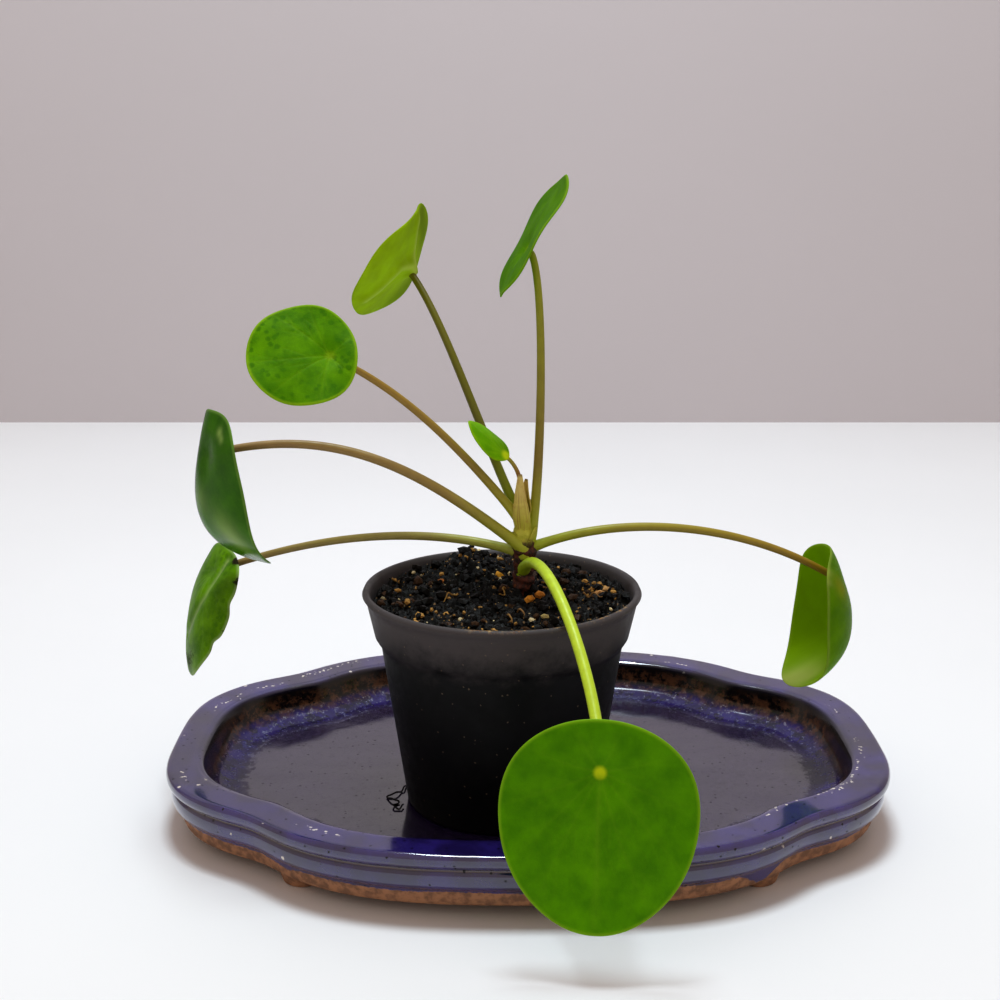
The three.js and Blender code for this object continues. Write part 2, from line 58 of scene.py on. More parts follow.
def placed(points):
    """Millimetres from the tray's middle, turned into metres in the frame."""
    return np.asarray(points, float) * MM + TRAY_MIDDLE


# %% [markdown]
# ## The camera
# The photograph looks down on the plant by about 14 degrees, from a little above its top. The lens is a mild
# telephoto, so the near leaf looks large but not swollen. A camera is an object like any other: it needs a place,
# a turn and a lens.

# %% Camera
CAMERA_PLACE = (-6.2, -320, 151.5)
CAMERA_TILT = 0.246  # how far it looks down, in radians
CAMERA_LENS = 53.46

camera = bpy.data.objects.new("camera", bpy.data.cameras.new("camera"))
camera.location = Vector(placed(CAMERA_PLACE))
camera.rotation_euler = (math.pi / 2 - CAMERA_TILT, 0, 0)
camera.data.lens = CAMERA_LENS
camera.data.clip_start, camera.data.clip_end = 0.02, 10  # in metres
bpy.context.scene.collection.objects.link(camera)
bpy.context.scene.camera = camera
print("camera at", tuple(round(x, 4) for x in camera.location))

# %% [markdown]
# ## Nets and tubes
# Every piece here is a closed skin. A net is a grid of points: each row is joined to the next one by four-sided
# faces, and a fan of triangles closes the first and the last row. A tube is a net whose rows are circles along a
# path. Both are worked out as whole arrays, which is fast and keeps each shape's formula in one place. A skin is
# kept as points, four-sided faces, triangles and named values, so that several can be joined in one piece.


# %% A net over a grid of points
def outward(points, quads, triangles):
    """Turns the faces so that the volume they enclose, a sixth of the sum of a.(b x c), is positive."""
    halves = [quads[:, [0, 1, 2]], quads[:, [0, 2, 3]], triangles]
    a, b, c = (points[np.concatenate(halves)[:, i]] for i in range(3))
    if np.sum(a * np.cross(b, c)) < 0:
        quads, triangles = quads[:, ::-1], triangles[:, ::-1]
    return quads, triangles


def net(points, **values):
    """A closed skin over rows of points: the columns run round, and the two end rows close on their middles."""
    rows, columns = points.shape[:2]
    here = np.arange(rows * columns).reshape(rows, columns)
    beside = np.roll(here, -1, axis=1)
    quads = np.stack([here[:-1], beside[:-1], beside[1:], here[1:]], -1).reshape(-1, 4)
    hub = [np.full(columns, rows * columns + i) for i in (0, 1)]
    triangles = np.concatenate([
        np.stack([beside[0], here[0], hub[0]], -1),
        np.stack([here[-1], beside[-1], hub[1]], -1),
    ])

    def with_hubs(grid):
        grid = np.asarray(grid, float)
        grid = grid[..., None] if grid.ndim < 3 else grid
        grid = np.broadcast_to(grid, (rows, columns, grid.shape[-1]))
        return np.concatenate([grid.reshape(rows * columns, -1), grid[[0, -1]].mean(axis=1)])

    flat = with_hubs(points)
    return flat, *outward(flat, quads, triangles), {key: with_hubs(value) for key, value in values.items()}


def swept(radius, angle, height, x=0.0, y=0.0):
    """Points round an upright axis at x and y: x + r cos a, y + r sin a and the height."""
    return np.stack(np.broadcast_arrays(x + radius * np.cos(angle), y + radius * np.sin(angle), height), -1)


def off_turn(angle, turn, width):
    """How far an angle lies from a turn in degrees, counted in half widths."""
    return (np.degrees(angle) - turn) / width


def joined(skins):
    """Several skins as one, with the corner numbers of each moved past those of the skins before it."""
    starts = np.cumsum([0] + [len(skin[0]) for skin in skins[:-1]])
    points = np.concatenate([skin[0] for skin in skins])
    quads, triangles = (
        np.concatenate([skin[kind] + start for skin, start in zip(skins, starts)]) for kind in (1, 2)
    )
    named = {key: np.concatenate([skin[3][key] for skin in skins]) for key in skins[0][3]}
    return points, quads, triangles, named


# %% A tube along a path
def resampled(path, steps):
    """The same path with evenly spaced points: each coordinate is read off against the length covered so far."""
    path = np.asarray(path, float)
    covered = np.concatenate([[0], np.cumsum(np.linalg.norm(np.diff(path, axis=0), axis=1))])
    wanted = np.linspace(0, covered[-1], steps)
    return np.stack([np.interp(wanted, covered, path[:, i]) for i in range(path.shape[1])], -1)


def smooth_path(points, steps):
    """A curve through the points, each coordinate a sum of four nearby points weighted by cubic terms."""
    p = np.asarray(points, float)
    p = np.concatenate([[2 * p[0] - p[1]], p, [2 * p[-1] - p[-2]]])
    at = np.linspace(0, len(points) - 1, 8 * steps)
    i = np.minimum(at.astype(int), len(points) - 2)
    t = (at - i)[:, None]
    a, b, c, d = p[i], p[i + 1], p[i + 2], p[i + 3]
    curve = b + t / 2 * (c - a + t * (2 * a - 5 * b + 4 * c - d + t * (3 * (b - c) + d - a)))
    return resampled(curve, steps)


def tube(path, radius, sides, swell=0, **values):
    """Circles along a path. Each circle lies across the path, between a side direction, which is the path's
    direction crossed with the normal of the plane that the path nearly lies in, and the direction over it. The
    swell makes the radius larger by a share of it."""
    ahead = np.gradient(path, axis=0)
    ahead /= np.linalg.norm(ahead, axis=1, keepdims=True)
    plane = np.linalg.svd(path - path.mean(0))[2][-1]
    side = np.cross(ahead, plane)
    side /= np.linalg.norm(side, axis=1, keepdims=True)
    over = np.cross(side, ahead)
    angle = np.linspace(0, 2 * np.pi, sides, endpoint=False)[None, :, None]
    reach = (np.broadcast_to(radius, len(path))[:, None] * (1 + swell))[..., None]
    points = path[:, None] + reach * (side[:, None] * np.cos(angle) + over[:, None] * np.sin(angle))
    return net(points, **values)


# %% Smooth random numbers in space
LATTICE = 32  # corners along each axis before the numbers repeat


def lattice_noise(points, size, seed=0):
    """Smooth random numbers from -1 to 1. Every corner of a lattice with this spacing has its own number, and a
    point takes the mean of the eight corners round it, each weighted by 3t^2 - 2t^3 along the three axes."""
    table = np.random.default_rng(seed).uniform(-1, 1, (LATTICE, LATTICE, LATTICE))
    cell = np.asarray(points) / size
    low = np.floor(cell).astype(int)
    t = cell - low
    t = t * t * (3 - 2 * t)
    total = 0
    for step in np.ndindex(2, 2, 2):
        weight = np.prod(np.where(step, t, 1 - t), axis=-1)
        total = total + weight * table[tuple(((low + step) % LATTICE)[..., i] for i in range(3))]
    return total


def rough_noise(points, size, octaves, seed=0):
    """Lattice noise added up over finer and finer sizes, each half as wide and half as high as the last."""
    return sum(lattice_noise(points, size / 2**i, seed + i) / 2**i for i in range(octaves))


def step_between(value, low, high):
    """0 below low and 1 above high, with a smooth 3t^2 - 2t^3 between."""
    t = np.clip((value - low) / (high - low), 0, 1)
    return t * t * (3 - 2 * t)


# %% A skin becomes an object
VALUE_KINDS = {1: ("FLOAT", "value"), 3: ("FLOAT_VECTOR", "vector"), 4: ("FLOAT_COLOR", "color")}


def piece(name, skin, finish, stands_for=(), faceted=False):
    """Puts a skin into a mesh with its named values as attributes, and hangs it on the frame, where it takes the
    place of the nodes that it stands for."""
    points, quads, triangles, values = skin
    mesh = bpy.data.meshes.new(name)
    mesh.from_pydata(placed(points), [], [*quads.tolist(), *triangles.tolist()])
    for key, value in values.items():
        kind, field = VALUE_KINDS[value.shape[-1]]
        layer = mesh.attributes.new(key, kind, "POINT")
        layer.data.foreach_set(field, value.astype(np.float32).ravel())
    mesh.materials.append(finish)
    if faceted:
        mesh.shade_flat()
    else:
        mesh.shade_smooth()
    made = bpy.data.objects.new(name, mesh)
    bpy.context.scene.collection.objects.link(made)
    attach(made, "root")
    if stands_for:
        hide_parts(*stands_for)
    low, high = points.min(0).round(1), points.max(0).round(1)
    print(f"{name}: {len(mesh.polygons)} faces, from {low.tolist()} to {high.tolist()} mm")


# %% [markdown]
# ## Writing finishes
# A finish is a small graph of shader nodes. Wiring nodes by hand takes several lines for each, so a sketch has
# one short call for each kind of node, and what comes out of a node is a wire. Wires can be added and multiplied,
# so a mask reads like a formula, and each sign is a Math node. All patterns work in millimetres.


# %% A wire, with the sums and patterns that can be made from it
class Wire:
    """What comes out of a shader node. Adding, subtracting, multiplying or dividing wires makes Math nodes."""

    def __init__(self, sketch, socket):
        self.sketch, self.socket = sketch, socket

    def __add__(self, other):
        return self.sketch.math("ADD", self, other)

    def __sub__(self, other):
        return self.sketch.math("SUBTRACT", self, other)

    def __rsub__(self, other):
        return self.sketch.math("SUBTRACT", other, self)

    def __mul__(self, other):
        return self.sketch.math("MULTIPLY", self, other)

    def __truediv__(self, other):
        return self.sketch.math("DIVIDE", self, other)

    def larger(self, other):
        return self.sketch.math("MAXIMUM", self, other)

    def fade(self, low, high, start=0.0, end=1.0):
        """The start value at low and the end value at high, with a smooth 3t^2 - 2t^3 between."""
        inputs = {"Value": self, "From Min": low, "From Max": high, "To Min": start, "To Max": end}
        return self.sketch.add("MapRange", inputs, interpolation_type="SMOOTHSTEP")

    def noise(self, per_mm, detail=4.0, rough=0.55):
        """Soft random numbers round 0.5 at the places that this wire holds."""
        inputs = {"Vector": self, "Scale": per_mm, "Detail": detail, "Roughness": rough}
        return self.sketch.add("TexNoise", inputs)

    def cells(self, per_mm, out="Distance"):
        """The distance to the nearest of many scattered points, or that point's random colour."""
        return self.sketch.add("TexVoronoi", {"Vector": self, "Scale": per_mm}, out=out)

    def bump(self, strength, depth):
        """A normal that is tilted as if this height, times the depth in mm, stood on the surface."""
        return self.sketch.add("Bump", {"Height": self, "Strength": strength, "Distance": depth * MM})


# %% A sketch
class Sketch:
    """A node tree, with one short call for each kind of node that the finishes use."""

    def __init__(self, tree):
        self.tree = tree

    def add(self, kind, inputs, out=0, **settings):
        """A node with its settings and inputs. Returns the output called out, or a list where out is a tuple."""
        node = self.tree.nodes.new("ShaderNode" + kind)
        for key, value in settings.items():
            setattr(node, key, value)
        for key, value in inputs.items():
            if isinstance(value, Wire):
                self.tree.links.new(value.socket, node.inputs[key])
            else:
                node.inputs[key].default_value = value
        if isinstance(out, tuple):
            return [Wire(self, node.outputs[key]) for key in out]
        return Wire(self, node.outputs[out])

    def math(self, operation, *values):
        return self.add("Math", dict(enumerate(values)), operation=operation)

    def scaled(self, vector, factor):
        return self.add("VectorMath", {0: vector, "Scale": factor}, operation="SCALE")

    def millimetres(self):
        """The place on the piece, in mm."""
        return self.scaled(self.add("TexCoord", {}, out="Object"), 1 / MM)

    def stored(self, name, out="Fac"):
        """A value that the mesh keeps at each of its points."""
        return self.add("Attribute", {}, out=out, attribute_name=name)

    def mix(self, share, first, second):
        return self.add("Mix", {0: share, 6: first, 7: second}, out=2, data_type="RGBA")

    def layers(self, base, *coats):
        """A base colour with coats laid over it one after another: each is a mask and a colour."""
        for mask, colour in coats:
            base = self.mix(mask, base, colour)
        return base


# %% Colours, groups and materials
def srgb(red, green, blue):
    """A colour as a screen shows it, 0 to 255, turned into the linear values that shaders work in."""
    share = np.array([red, green, blue]) / 255
    linear = np.where(share <= 0.04045, share / 12.92, ((share + 0.055) / 1.055) ** 2.4)
    return (*linear.tolist(), 1.0)


VECTOR, NUMBER, COLOUR = "NodeSocketVector", "NodeSocketFloat", "NodeSocketColor"


def shared_pattern(name, inputs, outputs, draw):
    """A node group with named inputs and outputs. draw gets a sketch and the inputs by name, and returns what
    goes to the outputs by name."""
    tree = bpy.data.node_groups.new(name, "ShaderNodeTree")
    for label, kind in inputs.items():
        tree.interface.new_socket(label, in_out="INPUT", socket_type=kind)
    for label, kind in outputs.items():
        tree.interface.new_socket(label, in_out="OUTPUT", socket_type=kind)
    sketch = Sketch(tree)
    given = {socket.name: Wire(sketch, socket) for socket in tree.nodes.new("NodeGroupInput").outputs}
    result = tree.nodes.new("NodeGroupOutput").inputs
    for label, wire in draw(sketch, given).items():
        tree.links.new(wire.socket, result[label])
    print("pattern:", name, len(tree.nodes), "nodes")
    return tree


def material(name, paint, through=0.0, **constants):
    """A material with one Principled shader. paint draws the graph and returns what goes into the shader. Where
    it also returns a colour named Lit, a share of the surface is a Translucent shader, which lets light through."""
    made = bpy.data.materials.new(name)
    made.use_nodes = True
    made.node_tree.nodes.clear()
    sketch = Sketch(made.node_tree)
    inputs = paint(sketch)
    lit = inputs.pop("Lit", None)
    surface = sketch.add("BsdfPrincipled", {**inputs, **constants})
    if lit is not None:
        glow = sketch.add("BsdfTranslucent", {"Color": lit, "Normal": inputs["Normal"]})
        surface = sketch.add("MixShader", {0: through, 1: surface, 2: glow})
    sketch.add("OutputMaterial", {"Surface": surface}, out=())
    print("finish:", name, len(made.node_tree.nodes), "nodes")
    return made


# %% [markdown]
# ## Shared patterns
# Three patterns turn up on almost every surface here. Grain is the fine unevenness that breaks up a highlight.
# Specks are scattered marks, such as pinholes in a glaze, dirt on plastic or spots on a leaf. Mottling is a slow
# drift between two colours. Each is a group, so that a leaf and a pot can share one pattern at different sizes.

# %% Grain
def draw_grain(sketch, given):
    return {"Height": given["Where"].noise(given["Per mm"], detail=6) * given["Depth"]}


GRAIN = shared_pattern(
    "grain", {"Where": VECTOR, "Per mm": NUMBER, "Depth": NUMBER}, {"Height": NUMBER}, draw_grain
)


def grain(where, per_mm, depth=1.0):
    return where.sketch.add("Group", {"Where": where, "Per mm": per_mm, "Depth": depth}, node_tree=GRAIN)


# %% Specks
def draw_specks(sketch, given):
    """Round marks on some of the scattered points. A slow shift of the places keeps them from being true discs."""
    where = given["Where"]
    shift = sketch.add("TexNoise", {"Vector": where, "Scale": 2.0}, out="Color")
    wobbly = sketch.add("VectorMath", {0: where, 1: sketch.scaled(shift, 0.5)})
    inside = 1.0 - wobbly.cells(given["Per mm"]) / given["Size"]
    lot = sketch.add("SeparateColor", {"Color": wobbly.cells(given["Per mm"], out="Color")})
    return {"Mask": inside.fade(0.0, 0.4) * sketch.math("LESS_THAN", lot, given["Share"])}


SPECKS = shared_pattern(
    "specks", {"Where": VECTOR, "Per mm": NUMBER, "Size": NUMBER, "Share": NUMBER}, {"Mask": NUMBER}, draw_specks
)


def specks(where, per_mm, size, share):
    inputs = {"Where": where, "Per mm": per_mm, "Size": size, "Share": share}
    return where.sketch.add("Group", inputs, node_tree=SPECKS)


# %% Mottling
def draw_mottling(sketch, given):
    drift = given["Where"].noise(given["Per mm"], detail=5, rough=0.6)
    share = drift.fade(given["Middle"] - 0.12, given["Middle"] + 0.12)
    return {"Color": sketch.mix(share, given["First"], given["Second"])}


MOTTLING = shared_pattern(
    "mottling", {"Where": VECTOR, "Per mm": NUMBER, "Middle": NUMBER, "First": COLOUR, "Second": COLOUR},
    {"Color": COLOUR}, draw_mottling,
)


def mottling(where, per_mm, middle, first, second):
    inputs = {"Where": where, "Per mm": per_mm, "Middle": middle, "First": first, "Second": second}
    return where.sketch.add("Group", inputs, node_tree=MOTTLING)


# %% [markdown]
# ## The drip tray's shape
# The tray is a pressed clay dish. Its outline is the larger of two rounded rectangles, a long one and a wide one,
# which leaves four notches where they cross. A section, swept round that outline, gives the stepped outside, the
# flat rim and the coved floor. A lathe can't do this, because the outline isn't round, but one formula for the
# radius at each angle and inset can.

# %% The drip tray's outline and section
TRAY_LONG = {"half_x": 81, "half_y": 46.5, "power": 3.15}
TRAY_WIDE = {"half_x": 67, "half_y": 59.2, "power": 2.85}
NOTCH_SHARPNESS = 45
TRAY_COLUMNS, SECTION_ROWS, FLOOR_ROWS = 560, 128, 12
TRAY_SECTION = [
    (5.2, 2.5), (3.7, 2.5), (3.2, 3.1), (2.4, 6.5), (1.7, 6.9), (1.1, 7.8), (0.9, 9.3), (1.1, 10.6), (1.8, 11.1),
    (0.5, 12.0), (0, 13.0), (0.1, 14.3), (0.8, 15), (6.7, 15), (7.9, 14.5), (8.6, 13.1), (9.4, 10.5), (11, 8.5),
    (13.4, 7.4), (16.5, 7),
]
GLAZE_DRIPS = [(315, 3.5, 3.4), (222, 2.5, 0.9), (268, 9, 0.5)]  # turn and half width in degrees, length in mm
# The marks at the back left are white chips in the glaze. Those at the front right, from 322 to 347 degrees near the
# inner edge, are painted glints: highlights laid into the colour.
RIM_CHIPS_AND_GLINTS = [  # turn and half width in degrees, inset in mm, strength
    (164, 5, 4.6, 0.9), (154, 3, 4.8, 1.0), (143, 5, 3.0, 0.9), (132, 7, 2.6, 0.9), (196, 2.5, 2.9, 0.8),
    (200, 2.5, 6.5, 0.7), (228, 8, 4.2, 0.6), (322, 3, 6.4, 0.9), (331, 3, 6.4, 0.8), (337, 5, 6.2, 1.0),
    (355, 5, 5.4, 0.8), (50, 9, 5.5, 0.5), (12, 5, 5.4, 0.5), (325, 3, 7.0, 1.2), (333, 3, 7.1, 1.3),
    (340, 3, 7.1, 1.3), (347, 3, 7.1, 1.0),
]
# Chips and painted glints share this reach.
CHIP_AND_GLINT_REACH = 0.8  # how far in and out from its inset a chip reaches
GLAZE_LINE, GLAZE_WAVE = 6.0, 0.5  # how high above the ground the glaze ends, and how much that wanders
INSIDE_FROM = 6  # points with a larger inset lie inside the rim
FLOOR_INSET = 60  # how much the inset grows from the cove to the tray's middle
FOOT_PLACES = [(x, y) for x in (-47, 47) for y in (-39.5, 39.5)]
FOOT_SECTION = [(0.4, 0), (4.2, 0), (5.2, 3.4), (0.4, 3.4)]


def rounded(profile, radius, steps=5):
    """Each corner of a section becomes a short parabola: (1-t)^2 before + 2t(1-t) corner + t^2 after."""
    profile = np.asarray(profile, float)
    corner = profile[1:-1]

    def toward(other):
        reach = np.linalg.norm(other - corner, axis=1, keepdims=True)
        return corner + (other - corner) * np.minimum(radius / reach, 0.45)

    t = np.linspace(0, 1, steps)[None, :, None]
    before, after = toward(profile[:-2])[:, None], toward(profile[2:])[:, None]
    arcs = (1 - t) ** 2 * before + 2 * t * (1 - t) * corner[:, None] + t**2 * after
    return np.concatenate([profile[:1], arcs.reshape(-1, 2), profile[-1:]])


def tray_radius(angle, inset):
    """Distance from the middle to the outline: 1 / (|cos/a|^p + |sin/b|^p)^(1/p) for both shapes, the larger."""

    def one(half_x, half_y, power):
        x, y = np.abs(np.cos(angle)) / (half_x - inset), np.abs(np.sin(angle)) / (half_y - inset)
        return (x**power + y**power) ** (-1 / power)

    long, wide = one(**TRAY_LONG), one(**TRAY_WIDE)
    larger = np.maximum(long, wide)
    k = NOTCH_SHARPNESS
    return larger * ((long / larger) ** k + (wide / larger) ** k) ** (1 / k)


# %% The drip tray's net
def bend_of(profile):
    """How sharply a section turns outwards at each point: its change of heading over the length around it."""
    run = np.gradient(profile, axis=0)
    heading = np.unwrap(np.arctan2(run[:, 1], run[:, 0]))
    return np.gradient(heading) / np.maximum(np.linalg.norm(run, axis=1), 0.05)


def tray_clay(angle, points, depth):
    """How far a point on the outside lies under the glaze line, which wanders and sags in a few drips."""
    round_rim = swept(1.0, angle, 0.0)
    glaze_line = GLAZE_LINE + GLAZE_WAVE * lattice_noise(40 * round_rim, 9, seed=3)
    for turn, width, length in GLAZE_DRIPS:
        glaze_line = glaze_line - length * np.exp(-(off_turn(angle, turn, width) ** 2))
    return np.where(depth > INSIDE_FROM, -9, glaze_line - points[..., 2])


def tray_chips_and_glints(angle, height, depth):
    """Where the rim has chips, and where glints are painted along its front-right inner edge: the sum of bell curves
    over the turn and the inset, on top of the rim alone.
    """
    chipped = sum(
        strength * np.exp(-(off_turn(angle, turn, width) ** 2) - ((depth - inset) / CHIP_AND_GLINT_REACH) ** 2)
        for turn, width, inset, strength in RIM_CHIPS_AND_GLINTS
    )
    return chipped * step_between(height, 13.5, 14.5)


def tray_skin():
    """The section swept round the outline, then the floor drawn in to the middle, with its unevenness and its masks:
    how sharp an edge is, how far in a point lies, how far under the glaze line, and where its chips and its painted
    glints lie."""
    section = resampled(rounded(TRAY_SECTION, 0.55), SECTION_ROWS)
    angle = np.linspace(0, 2 * np.pi, TRAY_COLUMNS, endpoint=False)
    inward = np.linspace(1, 0, FLOOR_ROWS + 2)[1:-1, None]
    rim_to_floor = tray_radius(angle, section[:, :1])
    radius = np.concatenate([rim_to_floor, rim_to_floor[-1:] * inward])
    height = np.concatenate([section[:, 1:], np.full((FLOOR_ROWS, 1), section[-1, 1])])
    points = swept(radius, angle, height)
    uneven = rough_noise(points, 14, 3, seed=4)
    on_side = step_between(height, 3.5, 6) * (1 - step_between(height, 14.6, 15))
    # the side wavers by about 0.12 mm, and the flat rim sinks by about 0.05 mm
    points[..., 2] += np.where(height > 14.8, -0.05 * (1 + uneven), 0.12 * uneven * on_side)
    edge = np.concatenate([np.clip(0.5 * bend_of(section), 0, 1)[:, None], np.zeros((FLOOR_ROWS, 1))])
    depth = np.concatenate([section[:, :1], section[-1, 0] + FLOOR_INSET * (1 - inward)])
    clay, chipped = tray_clay(angle, points, depth), tray_chips_and_glints(angle, height, depth)
    return net(points, edge=edge, inset=depth, clay=clay, chipped=chipped)


def foot_skin(x, y):
    """A low clay foot: a tapered disc with a rounded lower edge, its top sunk in the tray's underside."""
    radius, height = rounded(FOOT_SECTION, 0.6).T[:, :, None]
    angle = np.linspace(0, 2 * np.pi, 48, endpoint=False)
    return net(swept(radius, angle, height, x, y), edge=0, inset=0, clay=9, chipped=0)


# %% [markdown]
# ## The tray's finish
# The glaze is a dark cobalt that looks violet where it reflects the room. It is thin and brown where it runs off an
# edge, and crusted with pale and rusty minerals where water has dried on the cove. The steep wall inside, under the
# rim, is painted almost black: painted shade. On the floor a paler lilac is painted in, partly water stains on the
# glaze and partly a painted reflection of the pale room. Along the front-right inner edge of the rim, painted glints
# are laid in white with the chips. The glaze stops short of the foot, so bare tan clay shows below. One material
# with masks keeps these layers on one skin, as on the real dish: the shape's own values say where an edge or the
# glaze line is, and noise breaks up every border. A clear coat gives the glassy reflection. It is left off where the
# surface is dull: on the wall and cove inside, in the pinholes and scuffs, and on the clay.

# %% The tray's finish
def paint_tray(sketch):
    """The masks come first, then the colours that they lay over the cobalt, then how rough and how glassy it is."""
    where = sketch.millimetres()
    inset, edge, clay = sketch.stored("inset"), sketch.stored("edge"), sketch.stored("clay")
    broad, small = where.noise(0.12, 5), where.noise(1.1, 6, 0.65)
    smear, streak = where.noise(0.45, 9, 0.72), where.noise(0.9, 9, 0.8)
    floor = inset.fade(12.0, 17.0)
    cove = inset.fade(9.4, 11.4) * (inset + (broad - 0.5) * 9.0).fade(19.0, 15.5)
    ink = cove * where.noise(0.28, 7, 0.7).fade(0.5, 0.6)
    rust = inset.fade(8.2, 9.2) * inset.fade(12.5, 9.6) * smear.fade(0.42, 0.6)
    crust = cove * streak.fade(0.56, 0.66)
    worn = (edge + small * 0.5).fade(0.5, 0.95)
    scuff = floor * streak.fade(0.5, 0.62, 0.0, 0.6)
    pins = specks(where, 0.6, 0.2, 0.4)
    chips = specks(where, 0.24, 0.13, 0.3) * inset.fade(8.4, 7.2)
    # White marks along the rim: chips, and at the front right painted glints.
    chip_and_glint_dots = specks(where, 1.0, 0.4, 0.75) * sketch.stored("chipped").fade(0.3, 0.5)
    bare = (clay + (small - 0.5) * 1.4).fade(-0.15, 0.15)

    cobalt = sketch.mix(broad.fade(0.35, 0.65), srgb(26, 15, 70), srgb(42, 30, 106))
    # The floor's paler lilac is partly water stains on the glaze and partly a painted reflection of the pale room.
    floor_film_and_reflection = sketch.mix(small.fade(0.4, 0.8), srgb(30, 18, 52), srgb(58, 46, 84))
    glaze = sketch.mix(floor, cobalt, floor_film_and_reflection)
    colour = sketch.layers(
        glaze,
        # Painted shade: the steep wall under the rim is laid near black, as the shade that falls under the lip.
        (inset.fade(6.9, 8.4), sketch.mix(inset.fade(9.6, 11.0), srgb(7, 4, 7), glaze)),
        (cove * smear.fade(0.5, 0.64, 0.0, 0.7), srgb(52, 52, 104)),
        (ink * 0.85, srgb(16, 10, 40)),
        (rust * 0.75, srgb(92, 58, 38)),
        (crust * 0.75, srgb(160, 162, 188)),
        (worn * 0.8, srgb(74, 56, 50)),
        (scuff, srgb(14, 8, 34)),
        (pins, srgb(6, 4, 8)),
        (chips.larger(chip_and_glint_dots), srgb(220, 212, 200)),
        (bare, mottling(where, 0.5, 0.5, srgb(166, 120, 88), srgb(122, 88, 66))),
    )
    satin = inset.fade(7.0, 8.0) * inset.fade(22.0, 14.0, 0.05, 0.12)
    rough = small.fade(0.3, 0.8, 0.05, 0.16) + crust * 0.4 + satin
    dull = inset.fade(7.2, 8.4) * (inset + (smear - 0.5) * 9.0).fade(17.5, 15.5)
    dull = dull.larger(pins.larger(scuff * 0.6)).larger(bare)
    relief = broad * 0.5 + crust * 0.5 + grain(where, 3.0, 0.4) * bare
    return {
        "Base Color": colour,
        "Roughness": rough.larger(bare * 0.85),
        "Coat Weight": dull.fade(0.0, 1.0, 0.75, 0.0),
        "Normal": relief.bump(0.35, 0.3),
    }


GLAZED_CLAY = material("glazed_clay", paint_tray, **{"IOR": 1.5, "Coat IOR": 1.9, "Coat Roughness": 0.1})

# %% The tray
tray_and_feet = joined([tray_skin(), *(foot_skin(x, y) for x, y in FOOT_PLACES)])
piece("glazed_tray", tray_and_feet, GLAZED_CLAY, stands_for=["tray"])

# %% [markdown]
# ## The nursery pot
# The pot is thin black plastic, moulded on a lathe-like tool: a tapered cup, a wider collar with a step under it,
# and a rolled rim. Its section is turned about the pot's axis. Such plastic is matte but not flat. The soft grey
# light on its shoulders is painted into its colour, greyer towards the top, and dirt and lime specks sit on the rim.

# %% The pot's shape
POT_X, POT_Y, POT_FOOT = -5.8, -14.2, 7.05
POT_SECTION = [
    (0.4, 0.9), (19.0, 0.9), (17.6, 0.9), (18.2, 0), (20.4, 0), (20.9, 0.5), (26.15, 36.6), (26.5, 37.4),
    (27.3, 38.1), (27.42, 38.5), (29.2, 46.6), (29.9, 47.1), (30, 47.7), (29.6, 48.45), (28.7, 48.45), (28.2, 47.4),
    (26.4, 38.6), (25.3, 36.9), (20, 1.9), (0.4, 1.9),
]
POT_COLUMNS, POT_ROWS = 224, 150
POT_HEIGHT, UNROUND = 48, 0.0025
DIRTY_RIM = [(264, 7), (277, 4), (291, 3), (312, 9), (328, 7)]  # turn and half width in degrees


def pot_skin():
    """The pot's section turned about its axis, with a very slight unroundness that grows with the height."""
    section = resampled(rounded(POT_SECTION, 0.35), POT_ROWS)
    radius, height = section.T[:, :, None]
    angle = np.linspace(0, 2 * np.pi, POT_COLUMNS, endpoint=False)
    radius = radius * (1 + UNROUND * np.cos(2 * angle + 0.6) * height / POT_HEIGHT)
    dirty = sum(np.exp(-(off_turn(angle, turn, width) ** 2)) for turn, width in DIRTY_RIM)
    inner_edge = step_between(height, 47.8, 48.2) * step_between(radius, 29.7, 29.2)
    points = swept(radius, angle, POT_FOOT + height, POT_X, POT_Y)
    return net(points, rim=inner_edge * np.clip(dirty, 0, 1), height=height)


# %% The pot's finish
def paint_pot(sketch):
    where = sketch.millimetres()
    dull = where.noise(0.25, 6, 0.7)
    # Painted light: the plastic is painted greyer towards the top of the pot, standing for the light that falls on
    # the collar from above.
    painted_top_light = (sketch.stored("height") + (dull - 0.5) * 14.0).fade(34.0, 46.0)
    dirt = sketch.stored("rim") * where.noise(0.9, 7, 0.7).fade(0.5, 0.56)
    tan = sketch.mix(where.noise(1.4).fade(0.4, 0.6), srgb(150, 100, 46), srgb(206, 176, 122))
    plastic = sketch.layers(
        mottling(where, 0.3, 0.55, srgb(1, 1, 2), srgb(4, 3, 4)),
        (painted_top_light, srgb(76, 71, 72)),
        (specks(where, 0.9, 0.22, 0.12) * 0.5, srgb(120, 104, 88)),
        (dirt, tan),
    )
    return {
        "Base Color": plastic,
        "Roughness": dull.fade(0.3, 0.7, 0.42, 0.6) + dirt * 0.3,
        "Normal": (grain(where, 6.0) + dirt * 3.0).bump(0.25, 0.06),
    }


BLACK_PLASTIC = material("black_plastic", paint_pot, **{"Specular IOR Level": 0.18})

# %% The pot
piece("nursery_pot", pot_skin(), BLACK_PLASTIC, stands_for=["pot"])

# %% [markdown]
# ## The potting mix
# Potting mix is a heap of small wet lumps, bark chips and grit. A flat disc with a bumpy material would give itself
# away at the rim, so the top is real relief: the same broad heap as in the frame, plus rough noise down to half a
# millimetre. Loose crumbs, pale grit and a few orange clay pellets are scattered over it as small faceted stones.
# The palest crumbs are partly real grit and partly painted glints: tiny bright stones that stand for small
# highlights on the wet mix.

